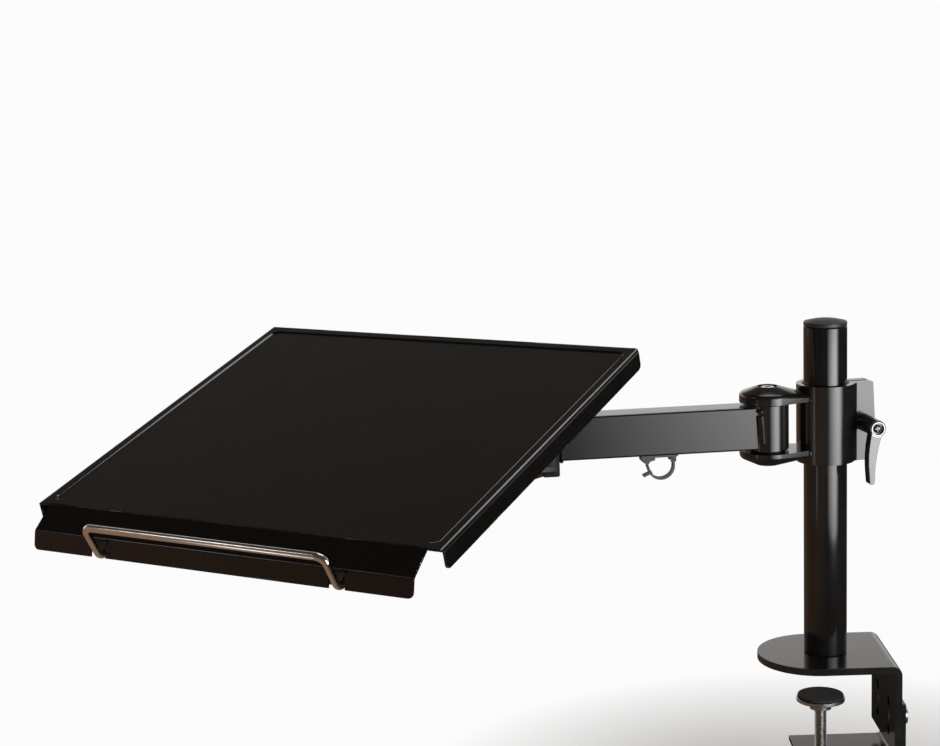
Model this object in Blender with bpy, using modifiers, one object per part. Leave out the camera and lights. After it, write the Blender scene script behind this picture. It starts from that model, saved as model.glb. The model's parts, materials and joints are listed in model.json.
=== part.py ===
"""Desk-mounted laptop tray: a clamp, a pole, a height collar, two swing arms, a tilt head
and a pressed-steel tray with a wire stop.

Metres, +Z up. The origin is on the pole's axis at the desk surface. +X points from the pole
over the desk's edge, and -Y points at the user.
"""
import bpy
import bmesh
from math import acos, atan2, cos, degrees, pi, radians, sin
from mathutils import Matrix, Vector

MM = 0.001

# Clearances
GAP = 0.3 * MM              # between two pieces that touch
OVERLAP = 0.5 * MM          # how far joined solids and cutters run into each other

# Desk clamp
DESK_THICKNESS = 30 * MM    # the desk that the clamp is shown closed on
PAD_THICKNESS = 1 * MM
PLATE_THICKNESS = 6 * MM
PLATE_WIDTH = 96 * MM
PLATE_REACH = 56 * MM       # from the pole's axis to the rounded end
BRACKET_FACE_X = 54 * MM    # outer face of the turned-down flange
BRACKET_BEND = 7.5 * MM     # outer radius of the bend
FLANGE_DROP = 76 * MM       # flange length below the plate's top
PAD_INSET = 4 * MM
JAW_THICKNESS = 4 * MM
JAW_WIDTH = 84 * MM
JAW_TOP_DROP = 34 * MM      # jaw's top edge below the plate's top
JAW_DROP = 92 * MM          # jaw's underside below the plate's top
JAW_REACH = 24 * MM         # jaw's end, on the far side of the pole's axis
JAW_BEND = 7 * MM
JAW_BOLT_RADIUS = 4 * MM
JAW_BOLT_HEAD_RADIUS = 7 * MM
JAW_BOLT_HEAD_HEIGHT = 4.4 * MM
JAW_BOLT_PITCH = 44 * MM
JAW_BOLT_DROP = 50 * MM     # bolt axis below the plate's top
JAW_BOLT_STEPS = (-12 * MM, 0, 12 * MM)
CLAMP_SCREW_X = -4 * MM
CLAMP_SCREW_RADIUS = 5 * MM
CLAMP_SCREW_LENGTH = 96 * MM
WELD_NUT_FLATS = 17 * MM
WELD_NUT_HEIGHT = 9 * MM
DISC_RADIUS = 20 * MM
DISC_THICKNESS = 3 * MM
DISC_HUB_RADIUS = 9 * MM
DISC_HUB_HEIGHT = 7 * MM
DISC_RUBBER_THICKNESS = 2 * MM
KNOB_RADIUS = 22 * MM
KNOB_LOBE = 2 * MM
KNOB_LOBES = 6
KNOB_HEIGHT = 18 * MM

# Pole
POLE_RADIUS = 17.5 * MM
POLE_WALL = 2.5 * MM
POLE_HEIGHT = 272.3 * MM
CAP_RIM_HEIGHT = 3.3 * MM
CAP_DOME_HEIGHT = 2.4 * MM
CAP_EDGE_RADIUS = 1.2 * MM
CAP_PLUG_DEPTH = 14 * MM
FOOT_PLUG_HEIGHT = 12 * MM
POLE_BOLT_RADIUS = 4 * MM
POLE_BOLT_HEAD_RADIUS = 8 * MM
POLE_BOLT_HEAD_DEPTH = 4 * MM
POLE_BOLT_LENGTH = 21 * MM

# Height collar and its clamp lever
ARM_HEIGHT = 194 * MM       # arms' centre above the plate's top
COLLAR_YAW = radians(11.2)
COLLAR_RADIUS = 23.4 * MM
COLLAR_HALF_HEIGHT = 32 * MM
BUSH_WALL = 1.1 * MM
EAR_REACH = 38.8 * MM       # at half height
EAR_END_REACH = 37.2 * MM   # at the top and the bottom
EAR_OUTER_Y = 10 * MM
EAR_FILLET = 5 * MM
EAR_SLOT = 3 * MM
STUD_X = 29.7 * MM
STUD_DROP = 1.1 * MM        # stud's axis below the arms' centre
STUD_RADIUS = 4 * MM
LEVER_HUB_RADIUS = 7.1 * MM
LEVER_HUB_TIP_RADIUS = 6.7 * MM
LEVER_HUB_LENGTH = 29 * MM
LEVER_THICKNESS = 9 * MM
LEVER_LENGTH = 45.4 * MM    # hub's axis to the tip
LEVER_LEAN = 4.9 * MM       # tip's centre to the side of the hub's axis
LEVER_BOW = 2 * MM          # how far the grip bows to the same side halfway
LEVER_ROOT_HALF = 4.9 * MM
LEVER_TIP_HALF = 2.1 * MM
LEVER_SCREW_RADIUS = 3.4 * MM
LEVER_RECESS_RADIUS = 4.7 * MM
LEVER_RECESS_DEPTH = 2.4 * MM
COLLAR_NUT_FLATS = 13 * MM
COLLAR_NUT_HEIGHT = 6.5 * MM
COLLAR_WASHER_RADIUS = 6.8 * MM
COLLAR_WASHER_THICKNESS = 1.5 * MM

# Swing arms and their forks
FORK_REACH = 49.2 * MM      # pole's axis to the elbow's axis
ARM_LENGTH = 207.3 * MM     # axis to axis
FORK_HALF_OPENING = 20 * MM
FORK_RADIUS = 22.8 * MM
FORK_TOP_SIDE = 5 * MM      # straight side of the upper disc
FORK_BOTTOM_SIDE = 3 * MM
FORK_SHOULDER = 3.6 * MM    # rounding above the straight side
FORK_TOP_CROWN = 32.5 * MM  # rim round the bolt, from the arm's centre
COLLAR_ROOT_HALF = 13.4 * MM  # half width of the collar's plates at their root
COLLAR_FORK_LOW = 31.6 * MM  # rim round the nut, below the arm's centre
ARM_FORK_LOW = 34.5 * MM
ROOT_TOP_EDGE = 22.4 * MM   # a plate's height at its root: sides, then middle
ROOT_TOP_RIDGE = 23.8 * MM
ROOT_LOW_EDGE = 24.4 * MM
ROOT_LOW_RIDGE = 27.2 * MM
BOLT_WELL_RADIUS = 8.1 * MM
FORK_CROWN_LAND = 1.2 * MM  # flat rim round each well
BOLT_SEAT_TOP = 26.3 * MM
NUT_SEAT_BOTTOM = 24.4 * MM
PIVOT_BOLT_RADIUS = 4 * MM
PIVOT_HEAD_RADIUS = 5.6 * MM
PIVOT_HEAD_HEIGHT = 5.4 * MM
PIVOT_SOCKET_FLATS = 5 * MM
PIVOT_NUT_FLATS = 13 * MM
PIVOT_NUT_HEIGHT = 5.6 * MM
KNUCKLE_RADIUS = 17 * MM
KNUCKLE_HALF_HEIGHT = 18.4 * MM
BUSH_RADIUS = 7 * MM
BUSH_LENGTH = 12 * MM
BUSH_FLANGE_RADIUS = 14 * MM
TUBE_WIDTH = 25 * MM
TUBE_HEIGHT = 35 * MM
TUBE_WALL = 2 * MM
TUBE_CORNER = 1.6 * MM
TUBE_BORE_CORNER = 0.6 * MM
BLOCK_START = 34 * MM       # block's tube-side face, before the far axis
BLOCK_LENGTH = 13.5 * MM
BLOCK_HALF_WIDTH = 17 * MM
BLOCK_TOP = 27.8 * MM
BLOCK_BOTTOM = 29 * MM
VENT_RADIUS = 3 * MM
ARM_ONE_AZIMUTH = radians(186.65)
ARM_TWO_AZIMUTH = radians(243.4)
HEAD_AZIMUTH = radians(240.1)

# Cable clip under the first arm
CLIP_START = 75 * MM        # its near end from the elbow's axis
CLIP_LENGTH = 30 * MM
CLIP_WIDTH = 11 * MM
CLIP_BASE_THICKNESS = 2.6 * MM
CLIP_HOOK_DROP = 6 * MM
STRAP_THICKNESS = 1.6 * MM
STRAP_LEG_X = 4 * MM        # strap's leg from the base's near end
STRAP_DEPTH = 17 * MM
STRAP_BOWL_RADIUS = 9.6 * MM
STRAP_TAIL = 6.5 * MM
STRAP_PIN_RADIUS = 1.6 * MM

# Tilt head
HEAD_REACH = 41.7 * MM      # wrist's axis to the tilt axis
HEAD_RISE = 26.3 * MM       # tilt axis above the arms' centre
BARREL_RADIUS = 14 * MM
BARREL_HALF_LENGTH = 21 * MM
NECK_WIDTH = 24 * MM
TILT_WASHER_THICKNESS = 1.5 * MM
TILT_BOLT_RADIUS = 4 * MM
TILT_NUT_FLATS = 13 * MM
TILT_NUT_HEIGHT = 6.5 * MM
EAR_THICKNESS = 4 * MM
EAR_RADIUS = 14 * MM
BRACKET_PLATE_SIDE = 112 * MM
BRACKET_PLATE_THICKNESS = 3 * MM
BRACKET_PLATE_CORNER = 8 * MM
BRACKET_HOLE_PITCH = 100 * MM
TILT = radians(15.6)
TILT_AXIS_DEPTH = 38 * MM   # tilt axis below the tray's top

# Tray
TRAY_WIDTH = 312 * MM
TRAY_DEPTH = 287 * MM
SHEET = 1.5 * MM
TRAY_BEND = 2.6 * MM
SIDE_FLANGE = 14.4 * MM
FLANGE_CORNER = 3.5 * MM
TRAY_FRONT_CORNER = 2 * MM
TRAY_BACK_CORNER = 3 * MM
RECESS_DEPTH = 1 * MM
RECESS_INSET = 7 * MM
RECESS_CORNER = 6 * MM
LIP_HALF_WIDTH = 145 * MM
LIP_SLOPE = radians(24.7)
LIP_SLOPE_LENGTH = 21.5 * MM
LIP_DROP_SLOPE = radians(66)
LIP_DROP_LENGTH = 12.6 * MM
LIP_BEND = 3 * MM
LIP_CORNER = 3.5 * MM
LIP_NOTCH_WIDTH = 12 * MM
LIP_NOTCH_TOP = 9.8 * MM    # notch's top below the tray's top
LIP_NOTCH_CORNER = 3 * MM
TRAY_SCREW_RADIUS = 2.5 * MM
SCREW_SINK = 0.1 * MM       # a flush screw's top below the recess floor
TRAY_NUT_FLATS = 8 * MM
TRAY_NUT_HEIGHT = 4 * MM

# Wire stop
WIRE_RADIUS = 2.5 * MM
WIRE_HALF_WIDTH = 91.5 * MM
WIRE_BAR_FORWARD = 30.2 * MM   # bar in front of the tray's front edge
WIRE_BAR_RISE = 4.7 * MM
WIRE_FOOT_FORWARD = 22.4 * MM
WIRE_FOOT_DROP = 21.2 * MM
WIRE_BEND = 6 * MM
WIRE_REAR_Y = -92 * MM
GUIDE_FRONT_Y = -157 * MM
GUIDE_REAR_Y = -125 * MM
GUIDE_HALF_WIDTH = 14 * MM
GUIDE_BELOW_WIRE = 4.5 * MM
GUIDE_SCREW_Y = -131 * MM
GUIDE_SCREW_RADIUS = 1.6 * MM
GUIDE_SCREW_LENGTH = 11 * MM

# Derived places
PLATE_TOP = PAD_THICKNESS + GAP + PLATE_THICKNESS
ARM_LEVEL = PLATE_TOP + ARM_HEIGHT
PIVOT_LOW = NUT_SEAT_BOTTOM + GAP + PIVOT_NUT_HEIGHT + 1 * MM
TRAY_UNDERSIDE = RECESS_DEPTH + SHEET
EAR_INNER_FACE = BARREL_HALF_LENGTH + TILT_WASHER_THICKNESS + 2 * GAP
WIRE_BAR_Y = -TRAY_DEPTH / 2 - WIRE_BAR_FORWARD
WIRE_FOOT_Y = -TRAY_DEPTH / 2 - WIRE_FOOT_FORWARD


# Scene and materials

def clear_scene():
    """Remove every object that the file starts with."""
    for thing in list(bpy.data.objects):
        bpy.data.objects.remove(thing, do_unlink=True)


def new_collection(name):
    collection = bpy.data.collections.new(name)
    bpy.context.scene.collection.children.link(collection)
    return collection


clear_scene()
PARTS = new_collection("laptop_tray_mount")
CUTTERS = new_collection("cutters")


def material(name, colour, roughness, metallic):
    """A Principled BSDF with one colour, roughness and metallic value."""
    shade = bpy.data.materials.new(name)
    shade.use_nodes = True
    principled = shade.node_tree.nodes["Principled BSDF"]
    principled.inputs["Base Color"].default_value = (*colour, 1)
    principled.inputs["Roughness"].default_value = roughness
    principled.inputs["Metallic"].default_value = metallic
    return shade


GLOSS_BLACK = (0.012, 0.011, 0.012)
SATIN_BLACK = (0.03, 0.03, 0.032)
PLASTIC_BLACK = (0.02, 0.02, 0.021)
CLIP_GREY = (0.05, 0.05, 0.052)
RUBBER_BLACK = (0.015, 0.015, 0.015)
BRIGHT_STEEL = (0.62, 0.61, 0.59)
CHROME = (0.8, 0.79, 0.77)
ZINC = (0.5, 0.5, 0.48)
NYLON = (0.6, 0.58, 0.52)


def frame(name, parent=None, at=(0, 0, 0), turn=None):
    """An empty that carries pieces, at a place and a turn in its parent's axes."""
    empty = bpy.data.objects.new(name, None)
    empty.empty_display_size = 0.02
    PARTS.objects.link(empty)
    empty.parent = parent
    empty.matrix_local = Matrix.Translation(at) @ (turn or Matrix.Identity(4))
    return empty


# Shapes

def from_bmesh(mesh_data, name):
    """A mesh object in the cutters' collection, to be joined, cut with or named as a piece."""
    mesh = bpy.data.meshes.new(name)
    bmesh.ops.remove_doubles(mesh_data, verts=mesh_data.verts, dist=1e-6)
    bmesh.ops.recalc_face_normals(mesh_data, faces=mesh_data.faces)
    mesh_data.to_mesh(mesh)
    mesh_data.free()
    thing = bpy.data.objects.new(name, mesh)
    CUTTERS.objects.link(thing)
    thing.hide_render = True
    thing.display_type = "WIRE"
    return thing


def box(low, high, name="box"):
    """A box between two corners."""
    low, high = Vector(low), Vector(high)
    data = bmesh.new()
    bmesh.ops.create_cube(data, size=1)
    size = high - low
    bmesh.ops.scale(data, vec=size, verts=data.verts)
    bmesh.ops.translate(data, vec=(low + high) / 2, verts=data.verts)
    return from_bmesh(data, name)


def rod(radius, low, high, at=(0, 0), segments=40, turn=None, name="rod"):
    """A cylinder along local Z between two heights, turned afterwards if a matrix is given."""
    data = bmesh.new()
    bmesh.ops.create_cone(
        data, cap_ends=True, segments=segments, radius1=radius, radius2=radius, depth=high - low
    )
    bmesh.ops.translate(data, vec=(at[0], at[1], (low + high) / 2), verts=data.verts)
    if turn:
        bmesh.ops.transform(data, matrix=turn, verts=data.verts)
    return from_bmesh(data, name)


def turned(profile, segments=40, turn=None, name="turned"):
    """A profile of (radius, height) points spun round Z with a Screw modifier, then applied."""
    mesh = bpy.data.meshes.new(name)
    closed = min(r for r, z in profile) > 0
    count = len(profile)
    edges = [(i, (i + 1) % count) for i in range(count if closed else count - 1)]
    mesh.from_pydata([(r, 0, z) for r, z in profile], edges, [])
    spun = bpy.data.objects.new(name, mesh)
    CUTTERS.objects.link(spun)
    screw = spun.modifiers.new("Spin", "SCREW")
    screw.steps = screw.render_steps = segments
    screw.use_merge_vertices = True
    screw.merge_threshold = 0.00001
    return applied(spun, turn, name)


def applied(source, turn, name):
    """The evaluated mesh of an object as a plain mesh object; the source is removed."""
    bpy.context.view_layer.update()
    graph = bpy.context.evaluated_depsgraph_get()
    data = bmesh.new()
    mesh = bpy.data.meshes.new_from_object(source.evaluated_get(graph))
    data.from_mesh(mesh)
    bpy.data.objects.remove(source, do_unlink=True)
    if turn:
        bmesh.ops.transform(data, matrix=turn, verts=data.verts)
    return from_bmesh(data, name)


def sheet(points, low, high, turn=None, name="sheet"):
    """A flat outline of (x, y) points as a filled 2D curve, extruded from low to high along Z."""
    curve = bpy.data.curves.new(name, "CURVE")
    curve.dimensions = "2D"
    curve.fill_mode = "BOTH"
    curve.extrude = (high - low) / 2
    spline = curve.splines.new("POLY")
    spline.points.add(len(points) - 1)
    for point, (x, y) in zip(spline.points, points):
        point.co = (x, y, 0, 1)
    spline.use_cyclic_u = True
    drawn = bpy.data.objects.new(name, curve)
    CUTTERS.objects.link(drawn)
    lift = Matrix.Translation((0, 0, (low + high) / 2))
    return applied(drawn, (turn or Matrix.Identity(4)) @ lift, name)


def wire(points, radius, name="wire"):
    """A round wire along a path: a curve with a bevel depth and filled caps."""
    curve = bpy.data.curves.new(name, "CURVE")
    curve.dimensions = "3D"
    curve.bevel_depth = radius
    curve.bevel_resolution = 3
    curve.use_fill_caps = True
    spline = curve.splines.new("POLY")
    spline.points.add(len(points) - 1)
    for point, place in zip(spline.points, points):
        point.co = (*place, 1)
    drawn = bpy.data.objects.new(name, curve)
    CUTTERS.objects.link(drawn)
    return applied(drawn, None, name)


X_UP = Matrix.Rotation(pi / 2, 4, "Y")                     # local Z along +X
XZ_TO_Y = Matrix(((1, 0, 0, 0), (0, 0, 1, 0), (0, 1, 0, 0), (0, 0, 0, 1)))   # drawn in XZ
YZ_TO_X = Matrix(((0, 0, 1, 0), (1, 0, 0, 0), (0, 1, 0, 0), (0, 0, 0, 1)))   # drawn in YZ
Y_UP = Matrix.Rotation(-pi / 2, 4, "X")                    # local Z along +Y


# Outlines

def arc(centre, radius, start, end, count=8):
    """Points on a circle from one angle to another, in degrees."""
    angles = (radians(start + (end - start) * i / count) for i in range(count + 1))
    return [(centre[0] + radius * cos(a), centre[1] + radius * sin(a)) for a in angles]


def rounded_rectangle(half_x, half_y, radius, count=5):
    """The outline of a rectangle round the origin with equal corners."""
    x, y = half_x - radius, half_y - radius
    corners = ((x, y, 0), (-x, y, 90), (-x, -y, 180), (x, -y, 270))
    return [p for cx, cy, a in corners for p in arc((cx, cy), radius, a, a + 90, count)]


def hexagon(across_flats):
    radius = across_flats / 2 / cos(pi / 6)
    return [(radius * cos(pi / 3 * i), radius * sin(pi / 3 * i)) for i in range(6)]


def rounded_path(points, radius, steps=6):
    """A path with every inner corner replaced by an arc of one radius, in 2D or 3D."""
    points = [Vector(p) for p in points]
    path = [points[0]]
    for before, corner, after in zip(points, points[1:], points[2:]):
        back, ahead = (before - corner).normalized(), (after - corner).normalized()
        half = acos(max(-1, min(1, back.dot(ahead)))) / 2
        reach = radius / (sin(half) / cos(half))
        middle = corner + (back + ahead).normalized() * (radius / sin(half))
        start, end = corner + back * reach - middle, corner + ahead * reach - middle
        sweep = pi - 2 * half
        for i in range(steps + 1):
            share = i / steps
            weight = (sin((1 - share) * sweep) / sin(sweep), sin(share * sweep) / sin(sweep))
            path.append(middle + start * weight[0] + end * weight[1])
    return path + [points[-1]]


def strip(path, thickness):
    """A closed outline of a bent strip: the path, and the path moved to its right."""
    path = [Vector(p) for p in path]
    moved = []
    for i, point in enumerate(path):
        before = (point - path[i - 1]).normalized() if i else None
        after = (path[i + 1] - point).normalized() if i < len(path) - 1 else None
        ways = [w for w in (before, after) if w]
        normals = [Vector((w.y, -w.x)) for w in ways]
        total = sum(normals, Vector((0, 0))).normalized()
        moved.append(point + total * thickness / total.dot(normals[0]))
    return [tuple(p) for p in path + moved[::-1]]


# Joining and naming

def combine(base, other, operation):
    """Apply an exact Boolean to base, with another object that is then removed."""
    boolean = base.modifiers.new(operation.title(), "BOOLEAN")
    boolean.operation = operation
    boolean.solver = "EXACT"
    boolean.object = other
    result = applied(base, None, base.name)
    bpy.data.objects.remove(other, do_unlink=True)
    return result


def joined(*things):
    base = things[0]
    for other in things[1:]:
        base = combine(base, other, "UNION")
    return base


def cut(base, *cutters):
    for cutter in cutters:
        base = combine(base, cutter, "DIFFERENCE")
    return base


def common(base, other):
    return combine(base, other, "INTERSECT")


def softened(thing, width, segments=1):
    """The shape with its sharp edges bevelled, before any hole is cut in it."""
    edge = thing.modifiers.new("Bevel", "BEVEL")
    edge.width = width
    edge.segments = segments
    edge.limit_method = "ANGLE"
    edge.angle_limit = radians(50)
    return applied(thing, None, thing.name)


def piece(name, thing, shade, parent, smooth=radians(35)):
    """Make a shape a named node of the part, with its material and its place."""
    thing.name = thing.data.name = name
    CUTTERS.objects.unlink(thing)
    PARTS.objects.link(thing)
    thing.hide_render = False
    thing.display_type = "TEXTURED"
    thing.data.materials.append(shade)
    thing.data.polygons.foreach_set("use_smooth", [True] * len(thing.data.polygons))
    thing.data.set_sharp_from_angle(angle=smooth)
    thing.parent = parent
    return thing


# Fasteners

def socket_bolt(radius, head_radius, head_height, length, socket_flats):
    """A bolt along Z with its head's underside at 0 and its shank below."""
    chamfer = head_height / 10
    body = turned((
        (0, -length), (radius, -length), (radius, 0), (head_radius, 0),
        (head_radius, head_height - chamfer), (head_radius - chamfer, head_height),
        (0, head_height)), 24)
    return cut(body, sheet(hexagon(socket_flats), head_height / 2, head_height + OVERLAP))


def nut(flats, bore, low, high, turn=None):
    """A hexagonal nut between two heights."""
    return cut(
        sheet(hexagon(flats), low, high, turn),
        rod(bore, low - OVERLAP, high + OVERLAP, segments=20, turn=turn),
    )


def ring(outer, inner, low, high, segments=40, turn=None):
    """A flat washer or sleeve between two heights."""
    profile = ((inner, low), (outer, low), (outer, high), (inner, high))
    return turned(profile, segments, turn)


# Desk clamp

def bracket_holes():
    """Places of the threaded holes in the flange, as (y, z)."""
    rows = (PLATE_TOP - JAW_BOLT_DROP + step for step in JAW_BOLT_STEPS)
    return [(side * JAW_BOLT_PITCH / 2, z) for z in rows for side in (-1, 1)]


def build_clamp():
    """The bent top plate, its pad, the bolted lower jaw and the screw with its pad and knob."""
    base = frame("clamp_frame")
    steel = material("gloss_black_steel", GLOSS_BLACK, 0.22, 0)
    plate_low = PLATE_TOP - PLATE_THICKNESS
    half_width = PLATE_WIDTH / 2

    path = rounded_path(
        ((-PLATE_REACH, PLATE_TOP), (BRACKET_FACE_X, PLATE_TOP),
         (BRACKET_FACE_X, PLATE_TOP - FLANGE_DROP)), BRACKET_BEND)
    bent = sheet(strip(path, PLATE_THICKNESS), -half_width, half_width, XZ_TO_Y)
    round_x = half_width - PLATE_REACH
    plan = arc((round_x, 0), half_width, 90, 270, 28)
    plan += [(BRACKET_FACE_X + OVERLAP, -half_width), (BRACKET_FACE_X + OVERLAP, half_width)]
    bent = common(bent, sheet(plan, PLATE_TOP - FLANGE_DROP - OVERLAP, PLATE_TOP + OVERLAP))
    bent = softened(bent, 1 * MM)
    head = POLE_BOLT_HEAD_RADIUS + GAP
    shank = POLE_BOLT_RADIUS + GAP
    bolt_hole = turned((
        (0, plate_low - OVERLAP), (head + OVERLAP, plate_low - OVERLAP), (head, plate_low),
        (shank, plate_low + POLE_BOLT_HEAD_DEPTH), (shank, PLATE_TOP + OVERLAP),
        (0, PLATE_TOP + OVERLAP)), 32)
    bent = cut(bent, bolt_hole)
    for y, z in bracket_holes():
        reach = (BRACKET_FACE_X - PLATE_THICKNESS - OVERLAP, BRACKET_FACE_X + OVERLAP)
        hole = rod(JAW_BOLT_RADIUS + GAP, *reach, segments=20, turn=X_UP)
        hole.data.transform(Matrix.Translation((0, y, z)))
        bent = cut(bent, hole)
    piece("clamp_bracket", bent, steel, base)

    pad_plan = arc((round_x, 0), half_width - PAD_INSET, 90, 270, 24)
    pad_end = BRACKET_FACE_X - PLATE_THICKNESS - BRACKET_BEND
    pad_plan += [(pad_end, -half_width + PAD_INSET), (pad_end, half_width - PAD_INSET)]
    rubber = material("pad_rubber", RUBBER_BLACK, 0.8, 0)
    piece("desk_pad", sheet(pad_plan, 0, PAD_THICKNESS), rubber, base)

    build_jaw(base, steel)
    build_clamp_screw(base)


def build_jaw(base, steel):
    """The lower jaw, the two bolts that hold it and the nut welded under it."""
    inner = BRACKET_FACE_X + GAP
    outer = inner + JAW_THICKNESS
    jaw_top = PLATE_TOP - JAW_TOP_DROP
    jaw_low = PLATE_TOP - JAW_DROP
    path = rounded_path(((outer, jaw_top), (outer, jaw_low), (-JAW_REACH, jaw_low)), JAW_BEND)
    jaw = sheet(strip(path, JAW_THICKNESS), -JAW_WIDTH / 2, JAW_WIDTH / 2, XZ_TO_Y)
    jaw = softened(jaw, 0.8 * MM)
    for side in (-1, 1):
        hole = rod(JAW_BOLT_RADIUS + GAP, inner - OVERLAP, outer + OVERLAP, segments=24, turn=X_UP)
        hole.data.transform(
            Matrix.Translation((0, side * JAW_BOLT_PITCH / 2, PLATE_TOP - JAW_BOLT_DROP)))
        jaw = cut(jaw, hole)
    screw_hole = rod(CLAMP_SCREW_RADIUS + GAP, jaw_low - OVERLAP,
                     jaw_low + JAW_THICKNESS + OVERLAP, at=(CLAMP_SCREW_X, 0), segments=28)
    jaw = cut(jaw, screw_hole)
    piece("clamp_jaw", jaw, steel, base)

    length = JAW_THICKNESS + PLATE_THICKNESS
    zinc = material("jaw_bolt_zinc", ZINC, 0.35, 1)
    for side, name in ((-1, "jaw_bolt_front"), (1, "jaw_bolt_back")):
        bolt = socket_bolt(JAW_BOLT_RADIUS, JAW_BOLT_HEAD_RADIUS, JAW_BOLT_HEAD_HEIGHT, length,
                           5 * MM)
        place = Matrix.Translation(
            (outer + GAP, side * JAW_BOLT_PITCH / 2, PLATE_TOP - JAW_BOLT_DROP))
        bolt.data.transform(place @ X_UP)
        piece(name, bolt, zinc, base)

    weld_nut = nut(WELD_NUT_FLATS, CLAMP_SCREW_RADIUS + GAP,
                   jaw_low - GAP - WELD_NUT_HEIGHT, jaw_low - GAP)
    weld_nut.data.transform(Matrix.Translation((CLAMP_SCREW_X, 0, 0)))
    piece("jaw_nut", weld_nut, material("weld_nut_steel", GLOSS_BLACK, 0.4, 0), base)


def build_clamp_screw(base):
    """The screw that turns up against the desk, its swivel disc, rubber face and knob."""
    lift = frame("clamp_lift", base, (CLAMP_SCREW_X, 0, -DESK_THICKNESS))
    spin = frame("clamp_spin", lift)
    rubber_low = -DISC_RUBBER_THICKNESS
    disc_top = rubber_low - GAP
    disc_low = disc_top - DISC_THICKNESS
    hub_low = disc_low - DISC_HUB_HEIGHT
    screw_top = disc_top - DISC_THICKNESS / 2
    neck = CLAMP_SCREW_RADIUS - 1.5 * MM

    disc = turned((
        (0, disc_top), (DISC_RADIUS, disc_top), (DISC_RADIUS, disc_low),
        (DISC_HUB_RADIUS, disc_low), (DISC_HUB_RADIUS, hub_low),
        (neck + GAP, hub_low), (neck + GAP, hub_low + 1.5 * MM),
        (CLAMP_SCREW_RADIUS + GAP, hub_low + 1.5 * MM), (CLAMP_SCREW_RADIUS + GAP, screw_top + GAP),
        (0, screw_top + GAP)), 32)
    piece("pressure_disc", disc, material("disc_zinc", ZINC, 0.35, 1), lift)
    rubber = material("disc_rubber", RUBBER_BLACK, 0.8, 0)
    piece("pressure_pad", rod(DISC_RADIUS - 1 * MM, rubber_low, 0, segments=32), rubber, lift)

    screw_low = screw_top - CLAMP_SCREW_LENGTH
    screw = turned((
        (0, screw_top), (CLAMP_SCREW_RADIUS, screw_top), (CLAMP_SCREW_RADIUS, hub_low + 1.8 * MM),
        (neck, hub_low + 1.8 * MM), (neck, hub_low - GAP), (CLAMP_SCREW_RADIUS, hub_low - GAP),
        (CLAMP_SCREW_RADIUS, screw_low), (0, screw_low)), 28)
    piece("clamp_screw", screw, material("clamp_screw_zinc", ZINC, 0.3, 1), spin)

    lobes = [2 * pi * i / 60 for i in range(60)]
    edge = [KNOB_RADIUS + KNOB_LOBE * cos(KNOB_LOBES * a) for a in lobes]
    plan = [(r * cos(a), r * sin(a)) for r, a in zip(edge, lobes)]
    knob_top = screw_low + KNOB_HEIGHT - 4 * MM
    knob = softened(sheet(plan, knob_top - KNOB_HEIGHT, knob_top), 1.6 * MM)
    seat = rod(CLAMP_SCREW_RADIUS + GAP, screw_low - GAP, knob_top + OVERLAP, segments=28)
    plastic = material("knob_plastic", PLASTIC_BLACK, 0.45, 0)
    piece("clamp_knob", cut(knob, seat), plastic, spin)


# Pole

def build_pole():
    """The steel tube, the plug in its foot, the bolt through the plate and the top cap."""
    base = frame("pole_frame", at=(0, 0, PLATE_TOP + GAP))
    bore = POLE_RADIUS - POLE_WALL
    paint = material("pole_gloss_black", GLOSS_BLACK, 0.16, 0)
    piece("pole_tube", ring(POLE_RADIUS, bore, 0, POLE_HEIGHT, 56), paint, base)

    plug = ring(bore - GAP, POLE_BOLT_RADIUS + GAP, 0, FOOT_PLUG_HEIGHT, 36)
    piece("pole_foot_plug", plug, material("plug_steel", ZINC, 0.5, 1), base)

    head_low = -GAP - PLATE_THICKNESS
    bolt = turned((
        (0, head_low), (POLE_BOLT_HEAD_RADIUS, head_low),
        (POLE_BOLT_RADIUS, head_low + POLE_BOLT_HEAD_DEPTH),
        (POLE_BOLT_RADIUS, head_low + POLE_BOLT_LENGTH), (0, head_low + POLE_BOLT_LENGTH)), 28)
    piece("pole_bolt", bolt, material("pole_bolt_zinc", ZINC, 0.35, 1), base)

    rim_low = POLE_HEIGHT + GAP
    rim_top = rim_low + CAP_RIM_HEIGHT
    plug_radius = bore - GAP
    dome = dome_profile(POLE_RADIUS - CAP_EDGE_RADIUS, rim_top, CAP_DOME_HEIGHT, 3)
    cap = turned((
        (0, rim_low - CAP_PLUG_DEPTH), (plug_radius, rim_low - CAP_PLUG_DEPTH),
        (plug_radius, rim_low), (POLE_RADIUS, rim_low), (POLE_RADIUS, rim_top - CAP_EDGE_RADIUS),
        *arc((POLE_RADIUS - CAP_EDGE_RADIUS, rim_top - CAP_EDGE_RADIUS), CAP_EDGE_RADIUS, 0, 90, 3),
        *dome[1:]), 36)
    piece("pole_cap", cap, material("cap_plastic", PLASTIC_BLACK, 0.4, 0), base)


def dome_profile(radius, base_z, height, count):
    """Points of a shallow spherical dome from its rim to its crown, as (radius, z)."""
    ball = (radius * radius + height * height) / (2 * height)
    rim_angle = acos((ball - height) / ball)
    angles = (rim_angle * (1 - i / count) for i in range(count + 1))
    return [(ball * sin(a), base_z + height - ball * (1 - cos(a))) for a in angles]


# Forks and knuckles, shared by the collar and both arms

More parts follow.
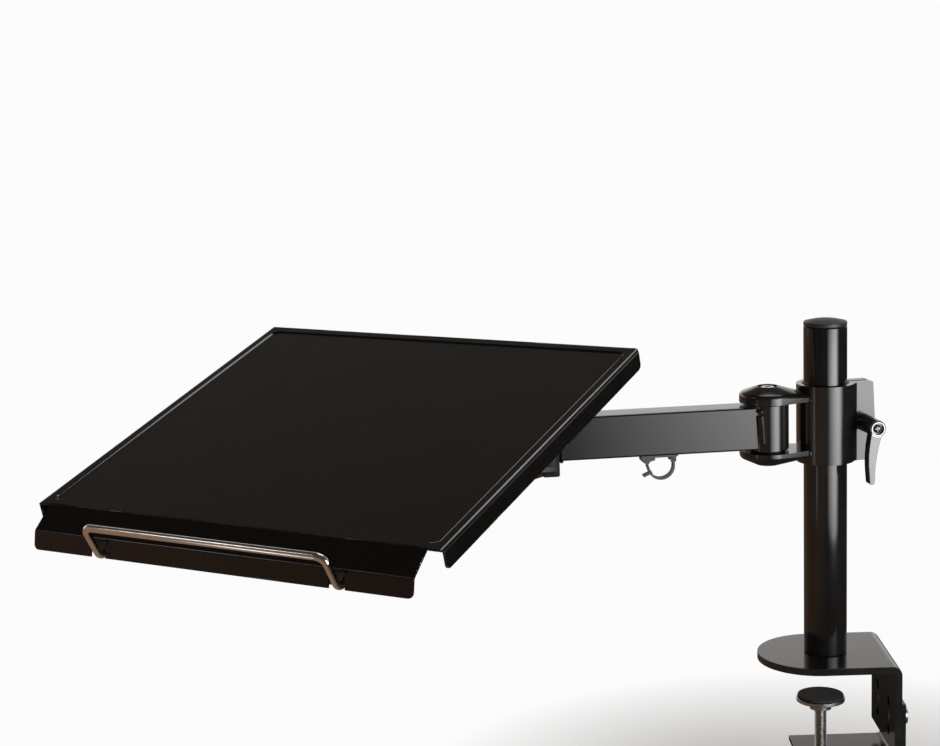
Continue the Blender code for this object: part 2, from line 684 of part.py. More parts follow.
def fork_plate(root_x, half_width, side_top, crown, edge, ridge, up=1):
    """One plate of a fork whose axis is local Z: the tight skin over a disc with a rounded
    shoulder and a raised rim, and over the lower root that joins it to its carrier."""
    data = bmesh.new()
    shoulder = arc((FORK_RADIUS - FORK_SHOULDER, side_top), FORK_SHOULDER, 0, 66, 3)
    profile = [(FORK_RADIUS, FORK_HALF_OPENING), *shoulder,
               (BOLT_WELL_RADIUS + FORK_CROWN_LAND, crown)]
    for radius, height in profile:
        for x, y in arc((0, 0), radius, 0, 360, 36)[1:]:
            data.verts.new((x, y, up * height))
    root = [(half_width, FORK_HALF_OPENING), (half_width, edge), (half_width / 2, ridge)]
    for y, height in root:
        for side in (-1, 1):
            data.verts.new((root_x, side * y, up * height))
    hull = bmesh.ops.convex_hull(data, input=data.verts)
    inside = {v for v in hull["geom_interior"] if isinstance(v, bmesh.types.BMVert)}
    bmesh.ops.delete(data, geom=list(inside), context="VERTS")
    bmesh.ops.dissolve_limit(data, angle_limit=radians(0.5), verts=data.verts, edges=data.edges)
    return from_bmesh(data, "fork_plate")


def fork_plates(root_x, half_width, low_crown):
    """Both plates of a fork, the upper one thin at its root and the lower one thick."""
    upper = fork_plate(root_x, half_width, FORK_HALF_OPENING + FORK_TOP_SIDE, FORK_TOP_CROWN,
                       ROOT_TOP_EDGE, ROOT_TOP_RIDGE)
    lower = fork_plate(root_x, half_width, FORK_HALF_OPENING + FORK_BOTTOM_SIDE, low_crown,
                       ROOT_LOW_EDGE, ROOT_LOW_RIDGE, up=-1)
    return upper, lower


def fork_cutters(low_crown):
    """The bolt's hole, the well round its head and the well round its nut, on local Z."""
    hole = rod(PIVOT_BOLT_RADIUS + GAP, -low_crown - OVERLAP, FORK_TOP_CROWN + OVERLAP,
               segments=20)
    head_well = rod(BOLT_WELL_RADIUS, BOLT_SEAT_TOP, FORK_TOP_CROWN + 2 * OVERLAP, segments=24)
    nut_well = rod(BOLT_WELL_RADIUS, -low_crown - 2 * OVERLAP, -NUT_SEAT_BOTTOM, segments=24)
    return hole, head_well, nut_well


def knuckle_cutter():
    """The hole through a knuckle for the bolt, wider at both ends for the flanged bushes."""
    deep = KNUCKLE_HALF_HEIGHT - BUSH_LENGTH
    wide, narrow = BUSH_RADIUS + GAP, PIVOT_BOLT_RADIUS + 1.5 * MM
    end = KNUCKLE_HALF_HEIGHT + OVERLAP
    return turned((
        (0, -end), (wide, -end), (wide, -deep), (narrow, -deep), (narrow, deep), (wide, deep),
        (wide, end), (0, end)), 24)


def build_pivot(prefix, joint_frame):
    """The socket bolt, lock nut and two flanged bushes of a vertical pivot."""
    bolt = socket_bolt(PIVOT_BOLT_RADIUS, PIVOT_HEAD_RADIUS, PIVOT_HEAD_HEIGHT,
                       BOLT_SEAT_TOP + PIVOT_LOW, PIVOT_SOCKET_FLATS)
    bolt.data.transform(Matrix.Translation((0, 0, BOLT_SEAT_TOP + GAP)))
    steel = material(prefix + "_bolt_steel", BRIGHT_STEEL, 0.25, 1)
    piece(prefix + "_bolt", bolt, steel, joint_frame)

    nut_top = -NUT_SEAT_BOTTOM - GAP
    lock_nut = nut(PIVOT_NUT_FLATS, PIVOT_BOLT_RADIUS + GAP, nut_top - PIVOT_NUT_HEIGHT, nut_top)
    piece(prefix + "_nut", lock_nut, material(prefix + "_nut_zinc", ZINC, 0.35, 1), joint_frame)

    flange_low = KNUCKLE_HALF_HEIGHT + GAP
    flange_high = FORK_HALF_OPENING - GAP
    sleeve_end = KNUCKLE_HALF_HEIGHT - BUSH_LENGTH + GAP
    inner = PIVOT_BOLT_RADIUS + GAP
    nylon = material(prefix + "_bush_nylon", NYLON, 0.5, 0)
    for side, name in ((1, "_bush_upper"), (-1, "_bush_lower")):
        profile = (
            (inner, side * sleeve_end), (BUSH_RADIUS, side * sleeve_end),
            (BUSH_RADIUS, side * flange_low), (BUSH_FLANGE_RADIUS, side * flange_low),
            (BUSH_FLANGE_RADIUS, side * flange_high), (inner, side * flange_high))
        piece(prefix + name, turned(profile, 24), nylon, joint_frame)


# Height collar

def build_collar():
    """The bush on the pole and the split collar with its ears and its fork."""
    slide = frame("height_slide", at=(0, 0, ARM_LEVEL))
    swivel = frame("collar_swivel", slide, turn=Matrix.Rotation(COLLAR_YAW, 4, "Z"))
    bush_inner = POLE_RADIUS + GAP
    bush_outer = bush_inner + BUSH_WALL
    bore = bush_outer + GAP
    half = COLLAR_HALF_HEIGHT
    bush = ring(bush_outer, bush_inner, -half + GAP, half - GAP, 56)
    piece("collar_bush", bush, material("collar_bush_nylon", NYLON, 0.5, 0), slide)

    body = rod(COLLAR_RADIUS, -half, half, segments=56)
    ears = collar_ears(half)
    upper, lower = fork_plates(COLLAR_RADIUS * 0.55 - FORK_REACH, COLLAR_ROOT_HALF,
                               COLLAR_FORK_LOW)
    pivot = Matrix.Translation((-FORK_REACH, 0, 0)) @ Matrix.Rotation(pi, 4, "Z")
    for plate in (upper, lower):
        plate.data.transform(pivot)
    body = joined(body, ears, upper, lower)

    wells = fork_cutters(COLLAR_FORK_LOW)
    for well in wells:
        well.data.transform(pivot)
    stud_hole = rod(STUD_RADIUS + GAP, -EAR_OUTER_Y - OVERLAP, EAR_OUTER_Y + OVERLAP,
                    segments=24, turn=Matrix.Translation((STUD_X, 0, -STUD_DROP)) @ Y_UP)
    slot = box((bore / 2, -EAR_SLOT / 2, -half - OVERLAP),
               (EAR_REACH + OVERLAP, EAR_SLOT / 2, half + OVERLAP))
    bore_cutter = rod(bore, -half - OVERLAP, half + OVERLAP, segments=56)
    body = cut(body, bore_cutter, slot, stud_hole, *wells)
    paint = material("collar_gloss_black", GLOSS_BLACK, 0.2, 0)
    piece("height_collar", body, paint, swivel)

    build_lever(swivel)
    elbow = frame("elbow_pivot", swivel, (-FORK_REACH, 0, 0))
    build_pivot("elbow", elbow)
    return elbow


def collar_ears(half):
    """Both ears as one block with concave roots, before the slot splits it."""
    middle_y = EAR_OUTER_Y + EAR_FILLET
    middle_x = ((COLLAR_RADIUS + EAR_FILLET) ** 2 - middle_y ** 2) ** 0.5
    share = (COLLAR_RADIUS - OVERLAP) / (COLLAR_RADIUS + EAR_FILLET)
    root = (middle_x * share, -middle_y * share)
    turn = degrees(atan2(middle_y, middle_x))
    fillet = arc((middle_x, -middle_y), EAR_FILLET, 180 - turn, 90, 4)
    lower = [(0, root[1]), root, *fillet[1:], (EAR_REACH + OVERLAP, -EAR_OUTER_Y)]
    plan = lower + [(x, -y) for x, y in lower[::-1]]
    block = sheet(plan, -half, half)
    side = [(0, -half - OVERLAP), (0, half + OVERLAP), (EAR_END_REACH, half + OVERLAP),
            (EAR_REACH, 0), (EAR_END_REACH, -half - OVERLAP)]
    return common(block, sheet(side, -middle_y - OVERLAP, middle_y + OVERLAP, XZ_TO_Y))


def build_lever(swivel):
    """The clamp lever on its stud, with the screw in its hub and the nut behind the far ear."""
    axis = (STUD_X, 0, -STUD_DROP)
    joint = frame("lever_pivot", swivel, axis, Matrix.Rotation(pi / 2, 4, "X"))
    hub_low = EAR_OUTER_Y + GAP
    hub_top = hub_low + LEVER_HUB_LENGTH
    hub = turned((
        (0, hub_low), (LEVER_HUB_RADIUS, hub_low), (LEVER_HUB_RADIUS, hub_low + 8 * MM),
        (LEVER_HUB_TIP_RADIUS, hub_top - 1 * MM), (LEVER_HUB_TIP_RADIUS - 1 * MM, hub_top),
        (0, hub_top)), 28)
    front = hub_top - 0.4 * MM
    arm = softened(sheet(lever_plan(), front - LEVER_THICKNESS, front), 1 * MM)
    stud_end = hub_low + 16 * MM
    stud_seat = rod(STUD_RADIUS + GAP, hub_low - OVERLAP, stud_end + GAP, segments=24)
    screw_seat = rod(LEVER_RECESS_RADIUS, hub_top - LEVER_RECESS_DEPTH, hub_top + OVERLAP,
                     segments=24)
    screw_hole = rod(1.6 * MM, stud_end - OVERLAP, hub_top, segments=16)
    lever = cut(joined(hub, arm), stud_seat, screw_seat, screw_hole)
    cast = material("lever_cast_black", SATIN_BLACK, 0.32, 0)
    piece("clamp_lever", lever, cast, joint)

    washer_low = -EAR_OUTER_Y - GAP - COLLAR_WASHER_THICKNESS
    nut_low = washer_low - GAP - COLLAR_NUT_HEIGHT
    stud = rod(STUD_RADIUS, nut_low - 1 * MM, stud_end, segments=24)
    stud = cut(stud, rod(1.3 * MM, stud_end - 8 * MM, stud_end + OVERLAP, segments=16))
    piece("lever_stud", stud, material("stud_zinc", ZINC, 0.35, 1), joint)
    screw = domed_screw(1 * MM, LEVER_SCREW_RADIUS, 1.9 * MM, hub_top - stud_end + 3 * MM)
    screw.data.transform(Matrix.Translation((0, 0, hub_top - LEVER_RECESS_DEPTH + GAP)))
    piece("lever_screw", screw, material("lever_screw_steel", BRIGHT_STEEL, 0.3, 1), joint)

    clamp = frame("collar_nut_frame", swivel, axis, Matrix.Rotation(pi / 2, 4, "X"))
    washer = ring(COLLAR_WASHER_RADIUS, STUD_RADIUS + GAP, washer_low,
                  washer_low + COLLAR_WASHER_THICKNESS, 28)
    piece("collar_washer", washer, material("washer_zinc", ZINC, 0.35, 1), clamp)
    back_nut = nut(COLLAR_NUT_FLATS, STUD_RADIUS + GAP, nut_low, nut_low + COLLAR_NUT_HEIGHT)
    piece("collar_nut", back_nut, material("collar_nut_zinc", ZINC, 0.35, 1), clamp)


def lever_plan():
    """The grip's outline seen along the hub: it tapers and bows to one side on its way down."""
    tip_y = -LEVER_LENGTH + LEVER_TIP_HALF
    steps = 6
    spine = [(t / steps, tip_y * t / steps) for t in range(steps + 1)]
    middle = [(-LEVER_LEAN * t - LEVER_BOW * sin(pi * t), y) for t, y in spine]
    half = [LEVER_ROOT_HALF + (LEVER_TIP_HALF - LEVER_ROOT_HALF) * t for t, y in spine]
    right = [(x + w, y) for (x, y), w in zip(middle, half)]
    left = [(x - w, y) for (x, y), w in zip(middle, half)]
    tip = arc(middle[-1], LEVER_TIP_HALF, 0, -180, 6)
    return right[:-1] + tip + left[-2::-1]


def domed_screw(radius, head_radius, head_height, length):
    """A low domed screw with its head's underside at 0 and a cross recess."""
    head = dome_profile(head_radius, head_height * 0.35, head_height * 0.65, 2)
    body = turned(((0, -length), (radius, -length), (radius, 0), (head_radius, 0), *head), 16)
    return crossed(body, head_radius * 0.6, head_height * 0.45, head_height)


def crossed(body, half, low, high):
    """A screw head with a cross recess of a half width cut into it."""
    bar = box((-half, -half / 4, low), (half, half / 4, high + OVERLAP))
    cross = box((-half / 4, -half, low), (half / 4, half, high + OVERLAP))
    return cut(body, bar, cross)


# Swing arms

def build_arm(name, joint_frame):
    """One welded arm along local +X: knuckle, rectangular tube, end block and fork."""
    block_low = ARM_LENGTH - BLOCK_START
    block_high = block_low + BLOCK_LENGTH
    knuckle = rod(KNUCKLE_RADIUS, -KNUCKLE_HALF_HEIGHT, KNUCKLE_HALF_HEIGHT, segments=36)
    section = rounded_rectangle(TUBE_HEIGHT / 2, TUBE_WIDTH / 2, TUBE_CORNER, 3)
    tube = sheet(section, KNUCKLE_RADIUS / 2, block_low + 2 * MM, X_UP)
    block = softened(box((block_low, -BLOCK_HALF_WIDTH, -BLOCK_BOTTOM),
                         (block_high, BLOCK_HALF_WIDTH, BLOCK_TOP)), 1 * MM)
    upper, lower = fork_plates(block_low + 2 * MM - ARM_LENGTH, BLOCK_HALF_WIDTH - OVERLAP,
                               ARM_FORK_LOW)
    wells = fork_cutters(ARM_FORK_LOW)
    for thing in (upper, lower, *wells):
        thing.data.transform(Matrix.Translation((ARM_LENGTH, 0, 0)))
    arm = joined(knuckle, tube, block, upper, lower)
    hollow = rounded_rectangle(TUBE_HEIGHT / 2 - TUBE_WALL, TUBE_WIDTH / 2 - TUBE_WALL,
                               TUBE_BORE_CORNER, 2)
    hollow = sheet(hollow, KNUCKLE_RADIUS + 1 * MM, block_low - 1 * MM, X_UP)
    vent = rod(VENT_RADIUS, block_low - 3 * MM, block_high + OVERLAP, segments=18, turn=X_UP)
    arm = cut(arm, knuckle_cutter(), hollow, vent, *wells)
    return piece(name, arm, material(name + "_gloss_black", GLOSS_BLACK, 0.22, 0), joint_frame)


def relative_turn(azimuth, parent_azimuth):
    return Matrix.Rotation(azimuth - parent_azimuth, 4, "Z")


def build_arms(elbow):
    """Both arms, each in a frame on its own pivot, and the pivots' bolts."""
    first = frame("elbow_swing", elbow, turn=relative_turn(ARM_ONE_AZIMUTH, COLLAR_YAW))
    build_arm("arm_one", first)
    build_cable_clip(first)
    middle = frame("middle_pivot", first, (ARM_LENGTH, 0, 0))
    build_pivot("middle", middle)
    second = frame("middle_swing", middle, turn=relative_turn(ARM_TWO_AZIMUTH, ARM_ONE_AZIMUTH))
    build_arm("arm_two", second)
    wrist = frame("wrist_pivot", second, (ARM_LENGTH, 0, 0))
    build_pivot("wrist", wrist)
    return frame("wrist_swing", wrist, turn=relative_turn(HEAD_AZIMUTH, ARM_TWO_AZIMUTH))


def build_cable_clip(arm_frame):
    """The plastic clip stuck under the arm, with its curved strap on a small pin."""
    plastic = material("clip_plastic", CLIP_GREY, 0.5, 0)
    top = -TUBE_HEIGHT / 2 - GAP
    low = top - CLIP_BASE_THICKNESS
    end = CLIP_START + CLIP_LENGTH
    hook_low = low - CLIP_HOOK_DROP + 3 * MM
    base = [
        (CLIP_START, top), (CLIP_START, low + 1 * MM), (CLIP_START + 1.5 * MM, low),
        (end - 11 * MM, low), (end - 11 * MM, hook_low + 1 * MM), (end - 7 * MM, hook_low),
        (end - 5 * MM, low - CLIP_HOOK_DROP), (end, hook_low + 0.5 * MM), (end, top)]
    pin_x = CLIP_START + STRAP_LEG_X
    pin_z = low - STRAP_PIN_RADIUS - GAP
    half = CLIP_WIDTH / 2
    body = sheet(base, -half, half, XZ_TO_Y)
    lug = box((pin_x - 2.2 * MM, -half, pin_z - 2 * MM), (pin_x + 2.2 * MM, half, low + OVERLAP))
    leg_slot = half - 2 * MM
    lug_slot = box((pin_x - 4 * MM, -leg_slot, pin_z - 3 * MM), (pin_x + 4 * MM, leg_slot, low + GAP))
    pin_hole = rod(STRAP_PIN_RADIUS / 2 + GAP, -half - OVERLAP, half + OVERLAP, segments=16,
                   turn=Matrix.Translation((pin_x, 0, pin_z)) @ Y_UP)
    body = cut(joined(body, lug), lug_slot, pin_hole)
    piece("cable_clip_base", body, plastic, arm_frame)

    strap_frame = frame("strap_pivot", arm_frame, (pin_x, 0, pin_z))
    bowl = STRAP_BOWL_RADIUS
    floor = -STRAP_DEPTH + STRAP_PIN_RADIUS
    path = [(0, 0), (0, floor + bowl)]
    path += arc((bowl, floor + bowl), bowl, 188, 330, 14)
    far_x, far_z = path[-1]
    path.append((end - 6 * MM - pin_x, low - CLIP_HOOK_DROP - GAP - pin_z))
    strap = sheet(strip(path, STRAP_THICKNESS), -leg_slot + GAP, leg_slot - GAP, XZ_TO_Y)
    tail_path = [(far_x - 0.6 * MM, far_z + 0.8 * MM),
                 (far_x + STRAP_TAIL, far_z - STRAP_TAIL / 3)]
    tail = sheet(strip(tail_path, STRAP_THICKNESS), -leg_slot + GAP, leg_slot - GAP, XZ_TO_Y)
    eye = rod(STRAP_PIN_RADIUS, -leg_slot + GAP, leg_slot - GAP, segments=20, turn=Y_UP)
    pin = rod(STRAP_PIN_RADIUS / 2, -half, half, segments=16, turn=Y_UP)
    piece("cable_clip_strap", joined(eye, strap, tail, pin), plastic, strap_frame)


# Tilt head

def build_head(wrist_swing):
    """The head in the second arm's fork, with its tilt bolt, and the frame that the tray tilts in."""
    paint = material("head_gloss_black", GLOSS_BLACK, 0.22, 0)
    knuckle = rod(KNUCKLE_RADIUS, -KNUCKLE_HALF_HEIGHT, KNUCKLE_HALF_HEIGHT, segments=36)
    to_axis = Matrix.Translation((HEAD_REACH, 0, HEAD_RISE)) @ Y_UP
    barrel = rod(BARREL_RADIUS, -BARREL_HALF_LENGTH, BARREL_HALF_LENGTH, segments=40,
                 turn=to_axis)
    knee = HEAD_REACH - BARREL_RADIUS
    side = [
        (KNUCKLE_RADIUS / 2, -KNUCKLE_HALF_HEIGHT + 1 * MM), (knee, -KNUCKLE_HALF_HEIGHT + 1 * MM),
        (HEAD_REACH + BARREL_RADIUS * 0.8, HEAD_RISE - BARREL_RADIUS * 0.6),
        (HEAD_REACH, HEAD_RISE), (knee + 1 * MM, HEAD_RISE),
        (FORK_RADIUS + 3 * MM, KNUCKLE_HALF_HEIGHT - 1 * MM),
        (KNUCKLE_RADIUS / 2, KNUCKLE_HALF_HEIGHT - 1 * MM)]
    neck = sheet(side, -NECK_WIDTH / 2, NECK_WIDTH / 2, XZ_TO_Y)
    bore = rod(TILT_BOLT_RADIUS + GAP, -BARREL_HALF_LENGTH - OVERLAP,
               BARREL_HALF_LENGTH + OVERLAP, segments=28, turn=to_axis)
    head = cut(joined(knuckle, neck, barrel), knuckle_cutter(), bore)
    piece("tilt_head", head, paint, wrist_swing)

    axis = frame("tilt_pivot", wrist_swing, (HEAD_REACH, 0, HEAD_RISE))
    ear_outer = EAR_INNER_FACE + EAR_THICKNESS
    nylon = material("tilt_washer_nylon", NYLON, 0.5, 0)
    for side, name in ((-1, "tilt_washer_right"), (1, "tilt_washer_left")):
        low, high = sorted(side * y for y in (BARREL_HALF_LENGTH + GAP, EAR_INNER_FACE - GAP))
        washer = ring(BARREL_RADIUS - 1 * MM, TILT_BOLT_RADIUS + GAP, low, high, 28, Y_UP)
        piece(name, washer, nylon, axis)

    tray = frame("tray_tilt", axis, turn=tray_turn())
    build_tilt_bracket(tray, paint)
    bolt = socket_bolt(TILT_BOLT_RADIUS, 6.5 * MM, 6 * MM, 2 * ear_outer + TILT_NUT_HEIGHT + 2 * MM,
                       5 * MM)
    bolt.data.transform(Matrix.Translation((ear_outer + GAP, 0, 0)) @ X_UP)
    steel = material("tilt_bolt_steel", BRIGHT_STEEL, 0.3, 1)
    piece("tilt_bolt", bolt, steel, tray)
    lock = nut(TILT_NUT_FLATS, TILT_BOLT_RADIUS + GAP, -ear_outer - GAP - TILT_NUT_HEIGHT,
               -ear_outer - GAP, X_UP)
    piece("tilt_nut", lock, material("tilt_nut_zinc", ZINC, 0.35, 1), tray)
    return tray


def tray_turn():
    """From the head's axes to the tray's: X to the right, Y to the tray's back, then the tilt."""
    across = Matrix(((0, -1, 0, 0), (1, 0, 0, 0), (0, 0, 1, 0), (0, 0, 0, 1)))
    return across @ Matrix.Rotation(TILT, 4, "X")


def build_tilt_bracket(tray, paint):
    """The square plate under the tray and the two ears that straddle the head."""
    plate_top = TILT_AXIS_DEPTH - TRAY_UNDERSIDE - GAP
    plate_low = plate_top - BRACKET_PLATE_THICKNESS
    half = BRACKET_PLATE_SIDE / 2
    plate = sheet(rounded_rectangle(half, half, BRACKET_PLATE_CORNER, 4), plate_low, plate_top)
    ear = [(-EAR_RADIUS, plate_low + OVERLAP), *arc((0, 0), EAR_RADIUS, 180, 360, 14),
           (EAR_RADIUS, plate_low + OVERLAP)]
    ear_outer = EAR_INNER_FACE + EAR_THICKNESS
    right = sheet(ear, EAR_INNER_FACE, ear_outer, YZ_TO_X)
    left = sheet(ear, -ear_outer, -EAR_INNER_FACE, YZ_TO_X)
    pin_hole = rod(TILT_BOLT_RADIUS + GAP, -ear_outer - OVERLAP, ear_outer + OVERLAP, segments=28,
                   turn=X_UP)
    bracket = cut(joined(plate, right, left), pin_hole)
    for x, y in screw_places():
        hole = rod(TRAY_SCREW_RADIUS + GAP, plate_low - OVERLAP, plate_top + OVERLAP, at=(x, y),
                   segments=20)
        bracket = cut(bracket, hole)
    piece("tilt_bracket", bracket, paint, tray)


def screw_places():
    half = BRACKET_HOLE_PITCH / 2
    return [(x, y) for x in (-half, half) for y in (-half, half)]


# Tray

def tray_shell():
    """The pressed tray with its side flanges, recess and front lip; its top centre is the origin."""
    half_w, half_d = TRAY_WIDTH / 2, TRAY_DEPTH / 2
    section = rounded_path(((-half_w, -SIDE_FLANGE), (-half_w, 0), (half_w, 0),
                            (half_w, -SIDE_FLANGE)), TRAY_BEND, 5)
    channel = sheet(strip(section, SHEET), -half_d, half_d, XZ_TO_Y)
    front, back = TRAY_FRONT_CORNER, TRAY_BACK_CORNER
    plan = [
        *arc((half_w - front, -half_d + front), front, -90, 0, 8),
        *arc((half_w - back, half_d - back), back, 0, 90, 4),
        *arc((-half_w + back, half_d - back), back, 90, 180, 4),
        *arc((-half_w + front, -half_d + front), front, 180, 270, 8)]
    channel = common(channel, sheet(plan, -SIDE_FLANGE - OVERLAP, OVERLAP))
    corner = FLANGE_CORNER
    start, end = -half_d + front * 0.6, half_d
    side = [
        (start, OVERLAP), *arc((start + corner, -SIDE_FLANGE + corner), corner, 180, 270, 6),
        *arc((end - corner, -SIDE_FLANGE + corner), corner, 270, 360, 6), (end, OVERLAP)]
    top_strip = [(-half_d - OVERLAP, -SHEET - OVERLAP), (end + OVERLAP, -SHEET - OVERLAP),
                 (end + OVERLAP, OVERLAP), (-half_d - OVERLAP, OVERLAP)]
    reach = half_w + OVERLAP
    keep = joined(sheet(side, -reach, reach, YZ_TO_X),
                  sheet(top_strip, -reach + 2 * TRAY_BEND, reach - 2 * TRAY_BEND, YZ_TO_X))
    shell = common(channel, keep)

    inset_x, inset_y = half_w - RECESS_INSET, half_d - RECESS_INSET
    wall = SHEET * 0.8
    pan = sheet(rounded_rectangle(inset_x + wall, inset_y + wall, RECESS_CORNER + wall),
                -TRAY_UNDERSIDE, -SHEET / 2)
    hollow = sheet(rounded_rectangle(inset_x, inset_y, RECESS_CORNER), -RECESS_DEPTH, OVERLAP)
    return cut(joined(shell, front_lip(), pan), hollow)


def front_lip():
    """The sloping panel in front of the tray and its turned-down edge, with the wire's notches."""
    start = -TRAY_DEPTH / 2
    bend_y = start - LIP_SLOPE_LENGTH * cos(LIP_SLOPE)
    bend_z = -LIP_SLOPE_LENGTH * sin(LIP_SLOPE)
    end_y = bend_y - LIP_DROP_LENGTH * cos(LIP_DROP_SLOPE)
    end_z = bend_z - LIP_DROP_LENGTH * sin(LIP_DROP_SLOPE)
    path = rounded_path(((end_y, end_z), (bend_y, bend_z), (start, 0), (start + 12 * MM, 0)),
                        LIP_BEND, 4)
    lip = sheet(strip(path, SHEET), -LIP_HALF_WIDTH, LIP_HALF_WIDTH, YZ_TO_X)
    for side in (-1, 1):
        x = side * WIRE_HALF_WIDTH
        half = LIP_NOTCH_WIDTH / 2
        low, high, r = end_z - 2 * MM, -LIP_NOTCH_TOP, LIP_NOTCH_CORNER
        notch = [(x - half, low), (x + half, low), *arc((x + half - r, high - r), r, 0, 90, 4),
                 *arc((x - half + r, high - r), r, 90, 180, 4)]
        lip = cut(lip, sheet(notch, end_y - 4 * MM, bend_y + 3 * MM, XZ_TO_Y))
        lip = cut(lip, corner_cutter(side, end_z, end_y, bend_y))
    return lip


def corner_cutter(side, end_z, end_y, bend_y):
    """What is left outside a rounded lower corner of the front lip."""
    edge, low, r = side * LIP_HALF_WIDTH, end_z, LIP_CORNER
    centre = (edge - side * r, low + r)
    span = (270, 360) if side > 0 else (270, 180)
    outline = arc(centre, r, *span, 6)
    outline += [(edge + side * OVERLAP, low + r), (edge + side * OVERLAP, low - 2 * MM),
                (edge - side * r, low - 2 * MM)]
    return sheet(outline, end_y - 4 * MM, bend_y + 3 * MM, XZ_TO_Y)


def build_tray(tilt_frame):
    """The tray on its bracket, its screws and nuts, and the wire stop in its guides."""
    tray = frame("tray_frame", tilt_frame, (0, 0, TILT_AXIS_DEPTH))
    shell = tray_shell()
    for place in screw_places():
        shell = cut(shell, countersink(TRAY_SCREW_RADIUS, place))
    for place in guide_places():
        shell = cut(shell, countersink(GUIDE_SCREW_RADIUS, place))
    paint = material("tray_gloss_black", GLOSS_BLACK, 0.14, 0)
    piece("laptop_tray", shell, paint, tray)

    plate_low = -TRAY_UNDERSIDE - GAP - BRACKET_PLATE_THICKNESS
    nut_low = plate_low - GAP - TRAY_NUT_HEIGHT
    black = material("tray_screw_black", SATIN_BLACK, 0.4, 0.6)
    zinc = material("tray_nut_zinc", ZINC, 0.35, 1)
    for number, (x, y) in enumerate(screw_places(), 1):
        screw = flush_screw(TRAY_SCREW_RADIUS, -nut_low - RECESS_DEPTH + 1 * MM, (x, y))
        piece(f"tray_screw_{number}", screw, black, tray)
        lock = nut(TRAY_NUT_FLATS, TRAY_SCREW_RADIUS + GAP, nut_low, nut_low + TRAY_NUT_HEIGHT)
        lock.data.transform(Matrix.Translation((x, y, 0)))
        piece(f"tray_nut_{number}", lock, zinc, tray)
    build_wire_stop(tray)


def countersink(radius, place):
    """A hole through the recessed floor that widens upwards for a flush screw."""
    clearance = 1.5 * GAP
    low, high = -TRAY_UNDERSIDE - OVERLAP, -RECESS_DEPTH + OVERLAP
    inner = radius + clearance - OVERLAP
    cone = turned(((0, low), (inner, low), (inner + high - low, high), (0, high)), 20)
    cone.data.transform(Matrix.Translation((*place, 0)))
    return cone


def flush_screw(radius, length, place):
    """A countersunk screw whose flat head, with its cross recess, lies just below the floor."""
    head_radius = radius + SHEET
    body = turned((
        (0, -length), (radius, -length), (radius, -SHEET), (head_radius, 0), (0, 0)), 20)
    screw = crossed(body, head_radius * 0.5, -SHEET * 0.6, 0)
    screw.data.transform(Matrix.Translation((*place, -RECESS_DEPTH - SCREW_SINK)))
    return screw


def guide_places():
    return [(side * WIRE_HALF_WIDTH, GUIDE_SCREW_Y) for side in (-1, 1)]


def build_wire_stop(tray):
    """The bent wire in front of the tray and the two blocks under the tray that it slides in."""
    stop = frame("wire_slide", tray)
    half = WIRE_HALF_WIDTH
    rear = (WIRE_REAR_Y, -WIRE_FOOT_DROP)
    foot = (WIRE_FOOT_Y, -WIRE_FOOT_DROP)
    bar = (WIRE_BAR_Y, WIRE_BAR_RISE)
    corners = [(-half, *rear), (-half, *foot), (-half, *bar), (half, *bar), (half, *foot),
               (half, *rear)]
    chrome = material("wire_chrome", CHROME, 0.12, 1)
    piece("wire_stop", wire(rounded_path(corners, WIRE_BEND, 6), WIRE_RADIUS), chrome, stop)

    top = -TRAY_UNDERSIDE - GAP
    low = -WIRE_FOOT_DROP - GUIDE_BELOW_WIRE
    nylon = material("guide_nylon", PLASTIC_BLACK, 0.5, 0)
    black = material("guide_screw_black", SATIN_BLACK, 0.4, 0.6)
    lip_top = GUIDE_FRONT_Y + TRAY_DEPTH / 2
    slope = sin(LIP_SLOPE) / cos(LIP_SLOPE)
    side_view = [(GUIDE_REAR_Y, low), (GUIDE_REAR_Y, top), (-TRAY_DEPTH / 2 + 1 * MM, top),
                 (GUIDE_FRONT_Y, top + lip_top * slope - 1 * MM), (GUIDE_FRONT_Y, low)]
    for side, name, (x, y) in zip((-1, 1), ("left", "right"), guide_places()):
        block = sheet(side_view, x - GUIDE_HALF_WIDTH, x + GUIDE_HALF_WIDTH, YZ_TO_X)
        block = softened(block, 0.6 * MM)
        wire_hole = rod(WIRE_RADIUS + GAP, GUIDE_FRONT_Y - OVERLAP, GUIDE_REAR_Y + OVERLAP,
                        segments=20, turn=Matrix.Translation((x, 0, -WIRE_FOOT_DROP)) @ Y_UP)
        screw_hole = rod(GUIDE_SCREW_RADIUS + GAP, top - GUIDE_SCREW_LENGTH, top + OVERLAP,
                         at=(x, y), segments=16)
        piece(f"wire_guide_{name}", cut(block, wire_hole, screw_hole), nylon, tray)
        screw = flush_screw(GUIDE_SCREW_RADIUS, GUIDE_SCREW_LENGTH, (x, y))
        piece(f"guide_screw_{name}", screw, black, tray)


build_clamp()
build_pole()
elbow_frame = build_collar()
wrist_frame = build_arms(elbow_frame)
tray_frame = build_head(wrist_frame)
build_tray(tray_frame)
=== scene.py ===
"""A laptop tray mount in gloss black steel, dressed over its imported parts.

A clamp bracket carries a pole. A split collar, two folding arms and a tilt head hold a pressed
tray with a chrome wire stop.
"""

import json
from math import cos, pi, radians, sin

